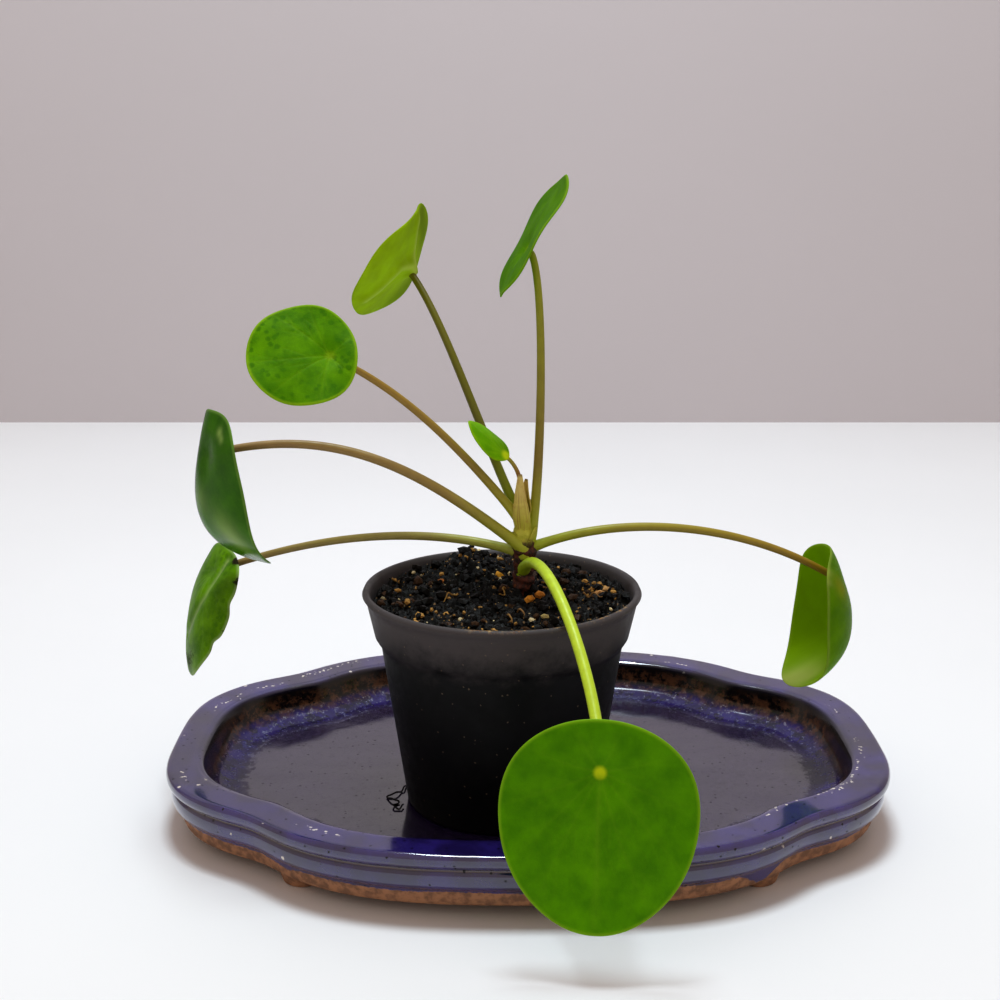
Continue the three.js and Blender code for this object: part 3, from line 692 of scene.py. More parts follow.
# %% The top of the mix
SOIL_LEVEL = 46.4
SOIL_WALL = [(19.6, 2.3), (24.9, 36.9), (26.0, 38.7), (27.4, 43.2)]  # radius and height inside the pot's wall
SOIL_EDGE, SOIL_SINKS_FROM, SOIL_SINKS_BY = 27.7, 26.8, 1.2  # radii at the wall, and how low the edge lies there
SOIL_COLUMNS, SOIL_ROWS = 330, 120


def soil_height(x, y):
    """Broad heap and mound as bell curves, faded out at the wall, plus lumps from crossed waves, as in the frame.
    x and y are measured from the pot's axis, and the height from its foot."""
    heap = 4.6 * np.exp(-((x + 7) ** 2 + (y - 19) ** 2) / 9**2)
    mound = 1.2 * np.exp(-((x - 4) ** 2 + (y - 2) ** 2) / 11**2)
    lumps = np.sin(0.9 * x + 1.3 * y) * np.cos(1.1 * x - 0.7 * y + 0.6)
    lumps = lumps + 0.6 * np.sin(2.1 * x - 1.7 * y + 2) * np.sin(1.9 * x + 2.3 * y)
    off_wall = 1 - step_between(np.hypot(x, y), 20, 27)
    return SOIL_LEVEL + (heap + mound) * (0.35 + 0.65 * off_wall) + 0.45 * lumps


def soil_relief(x, y):
    """The broad height plus ridged noise: the finer the noise, the lower it is."""
    flat = np.stack([x, y, 0 * x], -1)
    ridges = 1 - np.abs(rough_noise(flat, 2.6, 4, seed=21))
    return soil_height(x, y) + 2.0 * (ridges - 0.8) + 0.5 * lattice_noise(flat, 0.9, seed=31)


def soil_skin():
    """Rings from the pot's floor up its wall, then in over the top to the middle."""
    angle = np.linspace(0, 2 * np.pi, SOIL_COLUMNS, endpoint=False)
    wall_radius, wall_height = np.array(SOIL_WALL).T[:, :, None]
    radius = np.linspace(SOIL_EDGE, 0.15, SOIL_ROWS)[:, None]
    relief = soil_relief(radius * np.cos(angle), radius * np.sin(angle))
    top = relief - SOIL_SINKS_BY * step_between(radius, SOIL_SINKS_FROM, SOIL_EDGE)
    height = np.concatenate([wall_height + 0 * angle, top])
    return net(swept(np.concatenate([wall_radius, radius]), angle, POT_FOOT + height, POT_X, POT_Y))


# %% The mix's finish
def paint_soil(sketch):
    where = sketch.millimetres()
    earth = mottling(where, 1.2, 0.56, srgb(1, 1, 1), srgb(8, 5, 4))
    pale = specks(where, 0.8, 0.3, 0.2) * 0.7
    return {
        "Base Color": sketch.mix(pale, earth, srgb(150, 118, 80)),
        "Roughness": where.noise(0.5, 6, 0.7).fade(0.4, 0.65, 0.35, 0.8),
        "Normal": grain(where, 3.5).bump(0.8, 0.25),
    }


POTTING_MIX = material("potting_mix", paint_soil, **{"Specular IOR Level": 0.25})
piece("potting_mix", soil_skin(), POTTING_MIX, stands_for=["soil"])

# %% [markdown]
# ## Loose crumbs and grit
# Two thousand crumbs need a light shape each: a twenty-sided stone, stretched and dented at random and placed by one
# array sum. Their colours are drawn from the handful of tones in the mix and stored with the points, so that one
# material serves them all. The random numbers have a fixed seed, so the heap is the same each time. Fine dry roots
# lie between the crumbs and a black one on the tray: they are thin tubes through a few given places.

# %% Crumb shapes
GOLDEN = (1 + 5**0.5) / 2
STONE_POINTS = np.array([
    (-1, GOLDEN, 0), (1, GOLDEN, 0), (-1, -GOLDEN, 0), (1, -GOLDEN, 0),
    (0, -1, GOLDEN), (0, 1, GOLDEN), (0, -1, -GOLDEN), (0, 1, -GOLDEN),
    (GOLDEN, 0, -1), (GOLDEN, 0, 1), (-GOLDEN, 0, -1), (-GOLDEN, 0, 1),
]) / math.hypot(1, GOLDEN)
STONE_FACES = np.array([
    (0, 11, 5), (0, 5, 1), (0, 1, 7), (0, 7, 10), (0, 10, 11), (1, 5, 9), (5, 11, 4), (11, 10, 2), (10, 7, 6),
    (7, 1, 8), (3, 9, 4), (3, 4, 2), (3, 2, 6), (3, 6, 8), (3, 8, 9), (4, 9, 5), (2, 4, 11), (6, 2, 10),
    (8, 6, 7), (9, 8, 1),
])


def stones(middles, sizes, tones, random):
    """Twenty-sided stones: every corner is pushed in by up to 28% or out by up to 20%, and each stone is stretched
    along its own three axes, turned about the vertical and moved to its place."""
    count = len(middles)
    dent = random.uniform(0.72, 1.2, (count, len(STONE_POINTS), 1))
    stretch = random.uniform((0.75, 0.55, 0.5), (1.25, 1.0, 0.9), (count, 3))[:, None]
    turn = random.uniform(0, 2 * np.pi, (count, 1))
    x, y, z = np.moveaxis(STONE_POINTS * dent * stretch, -1, 0)
    turned = np.stack([x * np.cos(turn) - y * np.sin(turn), x * np.sin(turn) + y * np.cos(turn), z], -1)
    points = middles[:, None] + turned * sizes[:, None, None]
    faces = STONE_FACES[None] + len(STONE_POINTS) * np.arange(count)[:, None, None]
    tone = np.broadcast_to(tones[:, None], (count, len(STONE_POINTS), 4))
    return points.reshape(-1, 3), np.zeros((0, 4), int), faces.reshape(-1, 3), {"tone": tone.reshape(-1, 4)}


# %% Crumbs on the mix
CRUMBS, CRUMB_SPREAD = 2000, 26.6
# The last tone is partly pale grit and partly painted glints on the wet mix: these crumbs are made small and bright
# to stand for highlights.
CRUMB_TONES = [(1, 1, 1), (4, 3, 3), (14, 9, 8), (70, 46, 26), (190, 144, 76), (226, 206, 160)]
CRUMB_SHARES = (0.42, 0.22, 0.11, 0.1, 0.09, 0.06)
FIRST_PALE = 4  # the tones from this one on are grit
GRIT_FROM, GRIT_SHARE = 17, 0.12  # the radius from which grit is added, and its share there
GRIT_HEAPS = [(22, 4, 6, 0.75), (-12, -13, 5, 0.4)]  # place on the mix, reach and further share
PELLETS = [  # orange clay pellets and paler crumbs: place on the mix, radius and tone
    (5.9, -6.5, 1.7, (206, 136, 40)), (8.0, -3.9, 1.3, (196, 126, 44)), (-0.6, 9.5, 1.6, (222, 160, 44)),
    (8.8, -16.3, 1.0, (214, 196, 130)), (-13.5, 8.5, 1.0, (180, 108, 46)), (14.8, -20, 1.1, (236, 226, 170)),
    (15.6, -18.6, 0.8, (226, 214, 150)), (14, -18.6, 0.7, (236, 228, 180)), (21.2, 1.4, 1.1, (226, 172, 110)),
    (22.6, 3, 0.9, (232, 190, 130)), (20.1, 3.4, 0.9, (206, 150, 80)), (22.2, -0.8, 0.8, (196, 128, 50)),
    (-9, 2, 0.7, (190, 160, 120)), (-7, -14, 0.7, (196, 170, 120)),
]
TRAY_FLOOR = 7.2  # how high the root on the tray lies
TRAY_ROOT = [  # a black root on the tray's floor by the pot, from the tray's middle
    (-27, -8.5), (-27.8, -12), (-28.6, -14), (-30, -15.4), (-31.3, -16.2), (-29.8, -18.2), (-28.4, -19),
    (-29.6, -20.8), (-28.2, -22.4), (-27.4, -20.6),
]
ROOTLETS = [  # fine dry roots that lie on the mix: places they pass through, x and y from the pot's axis
    [(7.8, 1.2), (9.4, 0.2), (10.6, -1.4), (10.8, -3.2)], [(8.6, 2.2), (10.6, 1.6), (12, 0.4)],
    [(1.4, 0.2), (0.2, -1.6), (0.6, -3.6), (-0.6, -5.4)], [(3.2, -13), (4.6, -15.4), (4.4, -18)],
    [(1, -16), (2, -18.4), (1.6, -20.6)], [(-9.4, -2), (-11.4, -3.4), (-12.4, -5.6)],
    [(17.4, -2), (19.6, -2.6), (21.4, -4.4)], [(-17, 3), (-18.6, 1.4), (-18.4, -0.8)],
]


def crumb_skin(seed):
    """Crumbs spread evenly over a disc, their radius growing with the square root of a random number. Most are
    small and dark; pale grit gathers near the wall, above all in two heaps. The pellets come last."""
    random = np.random.default_rng(seed)
    radius = CRUMB_SPREAD * np.sqrt(random.uniform(0, 1, CRUMBS))
    turn = random.uniform(0, 2 * np.pi, CRUMBS)
    x, y = radius * np.cos(turn), radius * np.sin(turn)
    size = 0.28 + 1.35 * random.uniform(0, 1, CRUMBS) ** 4
    kind = random.choice(len(CRUMB_TONES), CRUMBS, p=CRUMB_SHARES)
    share = GRIT_SHARE
    for heap_x, heap_y, reach, more in GRIT_HEAPS:
        share = share + more * np.exp(-((x - heap_x) ** 2 + (y - heap_y) ** 2) / reach**2)
    kind = np.where((radius > GRIT_FROM) & (random.uniform(0, 1, CRUMBS) < share), FIRST_PALE, kind)
    size = np.where(kind >= FIRST_PALE, 0.6 * size, size)
    tones = np.array([srgb(*tone) for tone in CRUMB_TONES])[kind] * random.uniform(0.75, 1.25, (CRUMBS, 1))
    pellet_x, pellet_y, pellet_size, pellet_tones = zip(*PELLETS)
    x, y, size = np.append(x, pellet_x), np.append(y, pellet_y), np.append(size, pellet_size)
    tones = np.concatenate([tones, [srgb(*tone) for tone in pellet_tones]])
    middles = np.stack([POT_X + x, POT_Y + y, POT_FOOT + soil_relief(x, y) + 0.25 * size], -1)
    return stones(middles, size, tones, random)


def rootlet_skins():
    """Thin tubes that follow the mix's relief, each with one tan tone, and the black one on the tray."""
    skins = []
    for i, places in enumerate(ROOTLETS):
        x, y = smooth_path(places, 30).T
        path = np.stack([POT_X + x, POT_Y + y, POT_FOOT + soil_height(x, y) + 0.9 + 0.25 * np.sin(3 * x + i)], -1)
        tone = np.array(srgb(150 + 9 * (i % 3), 112 + 8 * (i % 3), 66))
        skins.append(tube(path, np.linspace(0.24, 0.1, len(path)), sides=6, tone=tone[None, None]))
    x, y = smooth_path(TRAY_ROOT, 90).T
    path = np.stack([x, y, TRAY_FLOOR + 0.25 * (1 + np.sin(2 * y))], -1)
    skins.append(tube(path, 0.2, sides=6, tone=np.array(srgb(6, 4, 6))[None, None]))
    return skins


# %% The crumbs' finish
def paint_crumbs(sketch):
    where = sketch.millimetres()
    drift = where.noise(2.0, 5, 0.7)
    return {
        "Base Color": sketch.mix(drift.fade(0.3, 0.8, 0.0, 0.5), sketch.stored("tone", "Color"), srgb(24, 16, 12)),
        "Roughness": drift.fade(0.3, 0.7, 0.3, 0.8),
        "Normal": grain(where, 5.0).bump(0.6, 0.12),
    }


GRIT = material("grit", paint_crumbs, **{"Specular IOR Level": 0.16})
piece("crumbs", joined([crumb_skin(seed=8), *rootlet_skins()]), GRIT, faceted=True)

# %% [markdown]
# ## The leaves' shape
# A blade is a disc on a stalk that joins it from below, away from its edge. Its middle surface is a sum of simple
# bends: an arc along it, an arc across it, a twist, a curled tip, a dimple over the stalk and waves at the edge.
# These are the frame's own values and formulas, so each fine blade lies where the frame has it. The two faces are
# that surface moved along its normal by half the thickness, and they meet in a rounded margin.

# %% The leaves, as in the frame
LEAVES = {
    "upper_right": dict(
        middle=(0.4, -4, 129.5), turn=8.9, rise=59.7, roll=-1.5, length=28.9, width=26.1,
        fold=(8, -2), arch=(-10, -13), square=2.19, egg=0.08, skew=0.04, hook=-0.04, seat=0.2,
        root=(0.3, -11.6, 66.2), bends=((2.4, -11, 72), (4, -8, 123)), stalk=(1.15, 0.75),
    ),
    "upper_middle": dict(
        middle=(-27.9, 8, 121.7), turn=257.3, rise=8.1, roll=59.8, length=32.5, width=28.7,
        fold=(57, 53), arch=(18, 13), square=1.92, egg=0.18, skew=-0.13, hook=-0.07, seat=0.22,
        root=(-1.7, -10.9, 69.5), bends=((-11.6, -6, 90.5), (-18.4, 2, 111.5)), stalk=(1.1, 0.75),
    ),
    "upper_left": dict(
        middle=(-46.2, -22, 107), turn=187, rise=0, roll=-53, length=22.5, width=23,
        fold=(-4, -4), arch=(-10, -10), square=2.1, egg=0.05, skew=0, hook=0, seat=0.5,
        root=(-2, -12.2, 70), bends=((-14.9, -12.5, 86.2), (-26.8, -13, 98.5)), stalk=(1.05, 0.7),
    ),
    "left": dict(
        middle=(-68.8, -16, 76.7), turn=235.9, rise=-89.3, roll=17.4, length=35.5, width=29.2,
        fold=(-128, -27), arch=(-44, -65), square=2.43, egg=-0.05, skew=-0.1, hook=0.42, seat=0.46,
        root=(-1.2, -13, 63.8), bends=((-20, -16, 79.3), (-38, -15, 92.5)), stalk=(1.3, 0.8),
    ),
    "lower_left": dict(
        middle=(-76, 2, 45.8), turn=198.2, rise=-70.6, roll=-0.7, length=31.6, width=30.8,
        fold=(-47, -72), arch=(-53, -55), square=2.13, egg=0.02, skew=0.14, hook=-0.01, seat=0.58,
        root=(-2.2, -11.2, 62.4), bends=((-21.3, -8, 67.6), (-45.9, 0, 63.8)), stalk=(1.05, 0.75),
    ),
    "right": dict(
        middle=(72.7, 1, 45), turn=-1.4, rise=-86.4, roll=-11.3, length=33.3, width=29.6,
        fold=(-163, -157), arch=(-66, -68), square=2.09, egg=0.01, skew=-0.08, hook=0.59, seat=0.46,
        root=(0.4, -11.4, 63.4), bends=((20.4, -9, 71), (48.9, -3, 66.7)), stalk=(1.05, 0.8),
    ),
    "front": dict(
        middle=(11.5, -74, 28.7), turn=259.1, rise=-79.9, roll=-4.8, length=39.4, width=36.2,
        fold=(0, -2), arch=(-4, 21), square=2.12, egg=0.12, skew=-0.01, hook=0.03, seat=0.5,
        root=(-1.2, -13, 58.8), bends=((2.8, -33, 74.5), (13.6, -54.3, 46)), stalk=(1.2, 1.1),
    ),
    "young": dict(
        middle=(-8.4, -14, 87.9), turn=176, rise=43, roll=-25, length=11.7, width=7.3,
        fold=(-50, -50), arch=(-15, -15), square=1.8, egg=0.15, skew=0.08, hook=0, seat=0.85,
        root=(-1.8, -12, 76.3), bends=((-1.7, -12.1, 79.5), (-2.9, -12.9, 82.2)), stalk=(0.5, 0.4),
    ),
}
DIMPLE_DEPTH, DIMPLE_REACH = 0.9, 0.24
RIPPLES, RIPPLE_HEIGHT, YOUNG_RIPPLE = 5, 0.35, 0.1
YOUNG_LENGTH = 15  # a blade shorter than this is young: it has no dimple and lower waves


# %% A blade's middle surface
def blade_axes(leaf):
    """Directions towards the tip, across, and out of the upper face, from the turn, rise and roll."""
    turn, rise, roll = np.radians([leaf["turn"], leaf["rise"], leaf["roll"]])
    tip = np.array([np.cos(rise) * np.cos(turn), np.cos(rise) * np.sin(turn), np.sin(rise)])
    level = np.array([-np.sin(turn), np.cos(turn), 0])
    above = np.cross(tip, level)
    return tip, level * np.cos(roll) + above * np.sin(roll), above * np.cos(roll) - level * np.sin(roll)


def on_arc(distance, half_span, degrees):
    """A length laid along a circle of curvature k: it reaches sin(kd)/k and rises (1-cos(kd))/k."""
    k = np.radians(degrees) / (2 * half_span)
    k = np.where(np.abs(k) < 1e-6, 1e-6, k)
    return np.sin(k * distance) / k, (1 - np.cos(k * distance)) / k


def blade_surface(leaf, u, v):
    """Middle surface: u runs from the base (-1) to the tip (1) and v across. The height is the two arcs' rise,
    plus skew u v, less hook u^3 past the middle, less a bell-shaped dimple at the seat, plus waves that grow
    with the cube of the distance from the middle."""
    tip, across, up = blade_axes(leaf)
    half_length, half_width = leaf["length"] / 2, leaf["width"] / 2
    young = leaf["length"] < YOUNG_LENGTH
    reach, rise_along = on_arc(u * half_length, half_length, np.where(u < 0, *leaf["arch"]))
    spread, rise_across = on_arc(v * half_width, half_width, np.where(v < 0, *leaf["fold"]))
    height = rise_along + rise_across + leaf["skew"] * u * v * half_length
    height = height - leaf["hook"] * half_length * np.maximum(0, u) ** 3
    away = np.hypot(u + leaf["seat"], v) / DIMPLE_REACH
    height = height - (0 if young else DIMPLE_DEPTH) * np.exp(-(away**2))
    wave = np.sin(RIPPLES * np.arctan2(v, u) + leaf["turn"])
    height = height + (YOUNG_RIPPLE if young else RIPPLE_HEIGHT) * np.hypot(u, v) ** 3 * wave
    parts = [reach[..., None] * tip, spread[..., None] * across, height[..., None] * up]
    return np.array(leaf["middle"]) + sum(parts)


def blade_normal(leaf, u, v, step=1e-3):
    """Across the surface's two directions: the cross product of small steps along u and v."""
    here = blade_surface(leaf, u, v)
    normal = np.cross(blade_surface(leaf, u + step, v) - here, blade_surface(leaf, u, v + step) - here)
    return normal / np.linalg.norm(normal, axis=-1, keepdims=True)


# %% [markdown]
# ## The leaves' veins
# The veins fan out from the seat, bend a little, and fork before they reach the margin. They are drawn as short
# straight runs in the flat blade, and each point of the net keeps how near the closest vein is. The relief and the
# colour both read that value, so the pale line in the shader sits exactly on the ridge in the mesh.

# %% Veins as short runs in the flat blade
MAIN_VEIN, SIDE_VEIN = 0.34, 0.2  # widths at the start
VEIN_STEPS, FORK_EVERY = 12, 3.2


def vein_runs(leaf, count, seed):
    """Starts, ends and widths of all runs, in mm in the flat blade. A main vein goes from the seat towards the
    margin with a sideways bow of t(1-t), and gives off side veins, which bow back towards it."""
    random = np.random.default_rng(seed)
    half = np.array([leaf["length"], leaf["width"]]) / 2
    seat = np.array([-leaf["seat"], 0])
    t = np.linspace(0, 1, VEIN_STEPS)[:, None]
    runs = []
    for i in range(count):
        turn = 2 * np.pi * (i + random.uniform(-0.18, 0.18)) / count
        end = np.array([np.cos(turn), np.sin(turn)])
        sideways = np.array([-(end - seat)[1], (end - seat)[0]])
        bow = random.uniform(-0.12, 0.12)
        main = seat + (end * 0.97 - seat) * t + bow * t * (1 - t) * sideways
        runs.append((main[:-1] * half, main[1:] * half, MAIN_VEIN - 0.16 * t[:-1, 0]))
        length = np.linalg.norm((end - seat) * half)
        for j, start in enumerate(np.arange(0.3, 0.9, FORK_EVERY / length)):
            way = (end - seat) * (0.30 * (1 - 0.5 * start))
            off = (1 if j % 2 else -1) * random.uniform(0.45, 0.7)
            bent = way + off * np.array([-way[1], way[0]])
            side = main[int(start * (VEIN_STEPS - 1))] + bent * t[::2] + 0.25 * t[::2] ** 2 * way
            runs.append((side[:-1] * half, side[1:] * half, SIDE_VEIN - 0.1 * t[::2][:-1, 0]))
    return [np.concatenate(part) for part in zip(*runs)]


def nearness_to_veins(flat, starts, ends, widths):
    """The largest of width x exp(-(distance / (0.16 + 0.5 width))^2) over all runs, for every point."""
    flat = flat.reshape(-1, 1, 2)
    way = ends - starts
    share = np.sum((flat - starts) * way, -1) / np.maximum(np.sum(way * way, -1), 1e-9)
    nearest = starts + np.clip(share, 0, 1)[..., None] * way
    distance = np.linalg.norm(flat - nearest, axis=-1)
    return np.max(widths / MAIN_VEIN * np.exp(-((distance / (0.16 + 0.5 * widths)) ** 2)), axis=1)


# %% A blade's skin
BLADE_RINGS, BLADE_COLUMNS = 56, 224
BLADE_HALF = 0.24  # half the thickness
MARGIN_ROUND, RELIEF_FROM = 0.5, 1.5  # how far in the margin is rounded off, and the relief at its full height
RIDGE_REACH, RIDGE_LINE = 1.5, 0.7  # half widths of a ridge's shape and of its pale line


def patch(flat, places):
    """The sum of bell curves at the given places: (along, across, radius, strength), in mm in the flat blade. It
    marks where a blade is spoiled or yellowed, and where painted shade and painted highlights lie."""
    total = np.zeros(flat.shape[:-1])
    for x, y, radius, strength in places:
        total = total + strength * np.exp(-(((flat[..., 0] - x) ** 2 + (flat[..., 1] - y) ** 2) / radius**2))
    return np.clip(total, 0, 1)


def nearness_to_line(flat, line, width):
    """Bell curve, exp(-(d / width)^2), of the distance d from a bent line in the flat blade."""
    line = resampled(line, 40)
    distance = np.min(np.linalg.norm(flat[..., None, :] - line, axis=-1), axis=-1)
    return np.exp(-((distance / width) ** 2))


def blade_outline(leaf, angle, bites):
    """The margin's distance from the middle, a superellipse's 1 / (|cos|^p + |sin|^p)^(1/p), less the bites: each
    is a turn and a half width in degrees, and a depth as a share of the distance."""
    power = leaf["square"]
    reach = (np.abs(np.cos(angle)) ** power + np.abs(np.sin(angle)) ** power) ** (-1 / power)
    for turn, width, depth in bites:
        gap = np.degrees(np.angle(np.exp(1j * (angle - np.radians(turn)))))
        reach = reach * (1 - depth * np.exp(-((gap / width) ** 2)))
    return reach


def blade_skin(
    leaf, seed, relief, veins=11, bites=(), spoiled=(), yellowed=(), shaded=(), painted_highlight_patches=(), ridges=(),
    ridge_height=0.7, half=BLADE_HALF,
):
    """Rings round the seat, out over the upper face to the margin and back under the lower face. The outline
    narrows towards the tip, and the veins are sunk in the upper face and stand out below."""
    angle = np.linspace(0, 2 * np.pi, BLADE_COLUMNS, endpoint=False)
    reach, seat = blade_outline(leaf, angle, bites), leaf["seat"]
    share = np.sin(np.linspace(0, np.pi / 2, BLADE_RINGS + 1)[1:, None]) ** 0.9
    u = -seat + (reach * np.cos(angle) + seat) * share
    v = reach * np.sin(angle) * (1 - leaf["egg"] * np.cos(angle)) * share
    flat = np.stack([u * leaf["length"] / 2, v * leaf["width"] / 2], -1)
    level = np.concatenate([flat, 0 * flat[..., :1]], -1)
    runs = vein_runs(leaf, veins, seed)
    vein = np.concatenate([nearness_to_veins(ring, *runs)[None] for ring in flat])
    from_seat = np.linalg.norm(flat - (-seat * leaf["length"] / 2, 0), axis=-1)
    margin = (1 - share) * from_seat[-1]
    normal, middle = blade_normal(leaf, u, v), blade_surface(leaf, u, v)
    ridge = np.zeros(u.shape)
    for line in ridges:
        middle = middle - normal * (ridge_height * nearness_to_line(flat, line, RIDGE_REACH))[..., None]
        ridge = ridge + nearness_to_line(flat, line, RIDGE_LINE)
    cushions = 0.6 * relief * rough_noise(level + (0, 0, seed), 3.0, 3, seed)
    round_edge = np.sqrt(np.clip(1 - np.clip(1 - margin / MARGIN_ROUND, 0, 1) ** 2, 0, 1))
    fade = step_between(margin, 0, RELIEF_FROM)
    upper = middle + normal * (half * round_edge + fade * (cushions - relief * vein))[..., None]
    boss = 0.55 * np.exp(-((from_seat / (1.6 * leaf["stalk"][1])) ** 2))
    lower = middle - normal * (half * round_edge + fade * (1.2 * relief * vein - cushions) + boss)[..., None]
    values = {
        "vein": vein, "margin": margin, "seat": from_seat, "flat": level, "ridge": np.clip(ridge, 0, 1),
        "spoiled": patch(flat, spoiled), "yellowed": patch(flat, yellowed), "shade": patch(flat, shaded),
        "haze": patch(flat, painted_highlight_patches),
    }
    faces = {key: np.concatenate([value, value[::-1]]) for key, value in values.items()}
    faces["upper"] = np.concatenate([np.ones(u.shape), np.zeros(u.shape)])
    return net(np.concatenate([upper, lower[::-1]]), **faces)


# %% [markdown]
# ## The leaves' finish
# A blade is waxy above and duller below. Light also comes through it, which is why the far leaves against the wall
# glow while the near one is a deeper green. So each leaf finish is a Principled shader with some Translucent shader
# mixed in. What all leaves share - veins, spots, margin and the yellow-green point over the stalk - is one group,
# and each leaf gives it its own greens. These greens are partly the leaves' own colours and partly painted light and
# shade: each leaf's greens are made lighter or darker with the light that falls on that leaf where it hangs.

# %% The pattern that all leaves share
YELLOW_POINT = srgb(232, 248, 30)


def draw_leaf_pattern(sketch, given):
    flat, margin = given["Flat"], given["Margin"]
    fine = flat.noise(2.2, 5, 0.7)
    spots = specks(flat, 0.62, 0.46, 0.7) * margin.fade(8.5, 5.0, 0.25, 1.0)
    green = sketch.layers(
        sketch.mix(flat.noise(0.17, 6, 0.6).fade(0.25, 0.75), given["Dark"], given["Light"]),
        (spots * given["Spot share"], given["Dark"]),
        (fine.fade(0.55, 0.85, 0.0, 0.35), given["Pale"]),
        (given["Vein"] * given["Vein share"], given["Pale"]),
        (margin.fade(0.9, 0.1) * given["Margin share"], given["Pale"]),
        (given["Seat"].fade(1.7, 0.5) * given["Point share"], YELLOW_POINT),
    )
    return {"Color": green, "Height": flat.cells(3.0) * 0.25 + fine}


LEAF_PATTERN = shared_pattern(
    "leaf_pattern",
    {
        "Flat": VECTOR, "Vein": NUMBER, "Margin": NUMBER, "Seat": NUMBER,
        "Dark": COLOUR, "Light": COLOUR, "Pale": COLOUR,
        "Vein share": NUMBER, "Spot share": NUMBER, "Margin share": NUMBER, "Point share": NUMBER,
    },
    {"Color": COLOUR, "Height": NUMBER},
    draw_leaf_pattern,
)

# %% A leaf's finish
LEAF_GLOSS = {"IOR": 1.3, "Specular IOR Level": 0.4, "Specular Tint": (0.75, 1.0, 0.35, 1.0)}


def leaf_finish(
    name, dark, light, pale, below, lit, vein, spots=0.0, margin=0.4, point=0.9, through=0.3, gloss=0.34, ridge=0.6
):
    """A leaf's material from its two greens, its pale veins, its lower face and the colour of light through it."""

    def paint(sketch):
        flat, near_vein, upper = sketch.stored("flat", "Vector"), sketch.stored("vein"), sketch.stored("upper")
        pattern = {
            "Flat": flat, "Vein": near_vein, "Margin": sketch.stored("margin"), "Seat": sketch.stored("seat"),
            "Dark": dark, "Light": light, "Pale": pale,
            "Vein share": vein, "Spot share": spots, "Margin share": margin, "Point share": point,
        }
        above, height = sketch.add("Group", pattern, out=("Color", "Height"), node_tree=LEAF_PATTERN)
        under = sketch.mix(0.35, sketch.mix(near_vein * vein, below, pale), above)
        spoil = (sketch.stored("spoiled") + flat.noise(1.6, 7, 0.75) * 0.9).fade(0.86, 1.0)
        green = sketch.layers(
            sketch.mix(upper, under, above),
            # On the upper middle and lower left leaves the pale line along a ridge is a painted highlight where the
            # fold catches the light; on the front leaf it is the pale midrib. The shade patches are painted shade.
            (sketch.stored("ridge") * ridge, pale),
            (sketch.stored("shade") * 0.65, dark),
            # Painted highlights: pale patches laid where the light catches the blade.
            (sketch.stored("haze"), pale),
            (sketch.stored("yellowed") * 0.8, srgb(190, 170, 40)),
            (spoil, srgb(44, 30, 22)),
        )
        rough = flat.noise(0.3).fade(0.3, 0.7, gloss - 0.06, gloss + 0.1) + upper.fade(1.0, 0.0, 0.0, 0.15)
        return {
            "Base Color": green,
            "Roughness": rough + spoil * 0.3,
            "Normal": height.bump(0.25, 0.12),
            "Lit": sketch.mix(0.6, green, lit),
        }

    return material(name, paint, through=through, **LEAF_GLOSS)


# %% One finish for each leaf
# Painted light and shade in part: each row's greens are raised or lowered with the light that falls on that leaf.
LEAF_LOOKS = {  # the finish's name, its dark, light and pale greens, its lower face, the light through it, shares
    "upper_right": (
        "leaf_green", [(78, 126, 1), (112, 164, 1), (190, 222, 60), (120, 170, 1), (140, 205, 1)],
        dict(vein=0.06, point=0.3, through=0.45, gloss=0.6),
    ),
    "upper_middle": (
        "leaf_olive", [(84, 106, 2), (186, 216, 30), (222, 230, 140), (190, 216, 30), (210, 236, 20)],
        dict(vein=0.06, margin=0.0, through=0.5, gloss=0.6),
    ),
    "upper_left": (
        "leaf_lit", [(70, 128, 1), (130, 186, 1), (196, 228, 50), (124, 176, 4), (160, 215, 1)],
        dict(vein=0.12, spots=0.75, point=0.2, through=0.5, margin=0.7, gloss=0.5),
    ),
    "left": (
        "leaf_glossy", [(46, 100, 1), (72, 134, 1), (160, 192, 100), (98, 146, 4), (96, 160, 1)],
        dict(vein=0.03, point=0.0, gloss=0.16),
    ),
    "lower_left": (
        "leaf_spotted", [(66, 116, 1), (124, 178, 2), (196, 214, 150), (110, 158, 4), (120, 185, 1)],
        dict(vein=0.05, spots=0.5, point=0.0, ridge=0.45),
    ),
    "right": (
        "leaf_cupped", [(88, 136, 1), (128, 174, 1), (206, 208, 120), (160, 190, 2), (190, 225, 1)],
        dict(vein=0.04, through=0.55, gloss=0.24),
    ),
    "front": (
        "leaf_front", [(76, 142, 1), (106, 176, 1), (160, 206, 40), (98, 146, 4), (104, 170, 1)],
        dict(vein=0.09, margin=0.6, ridge=0.1),
    ),
    "young": (
        "leaf_young", [(104, 166, 2), (136, 194, 4), (196, 222, 40), (130, 180, 4), (160, 220, 2)],
        dict(vein=0.12, through=0.35),
    ),
}
LEAF_FINISH = {
    leaf: leaf_finish(name, *(srgb(*tone) for tone in tones), **shares)
    for leaf, (name, tones, shares) in LEAF_LOOKS.items()
}

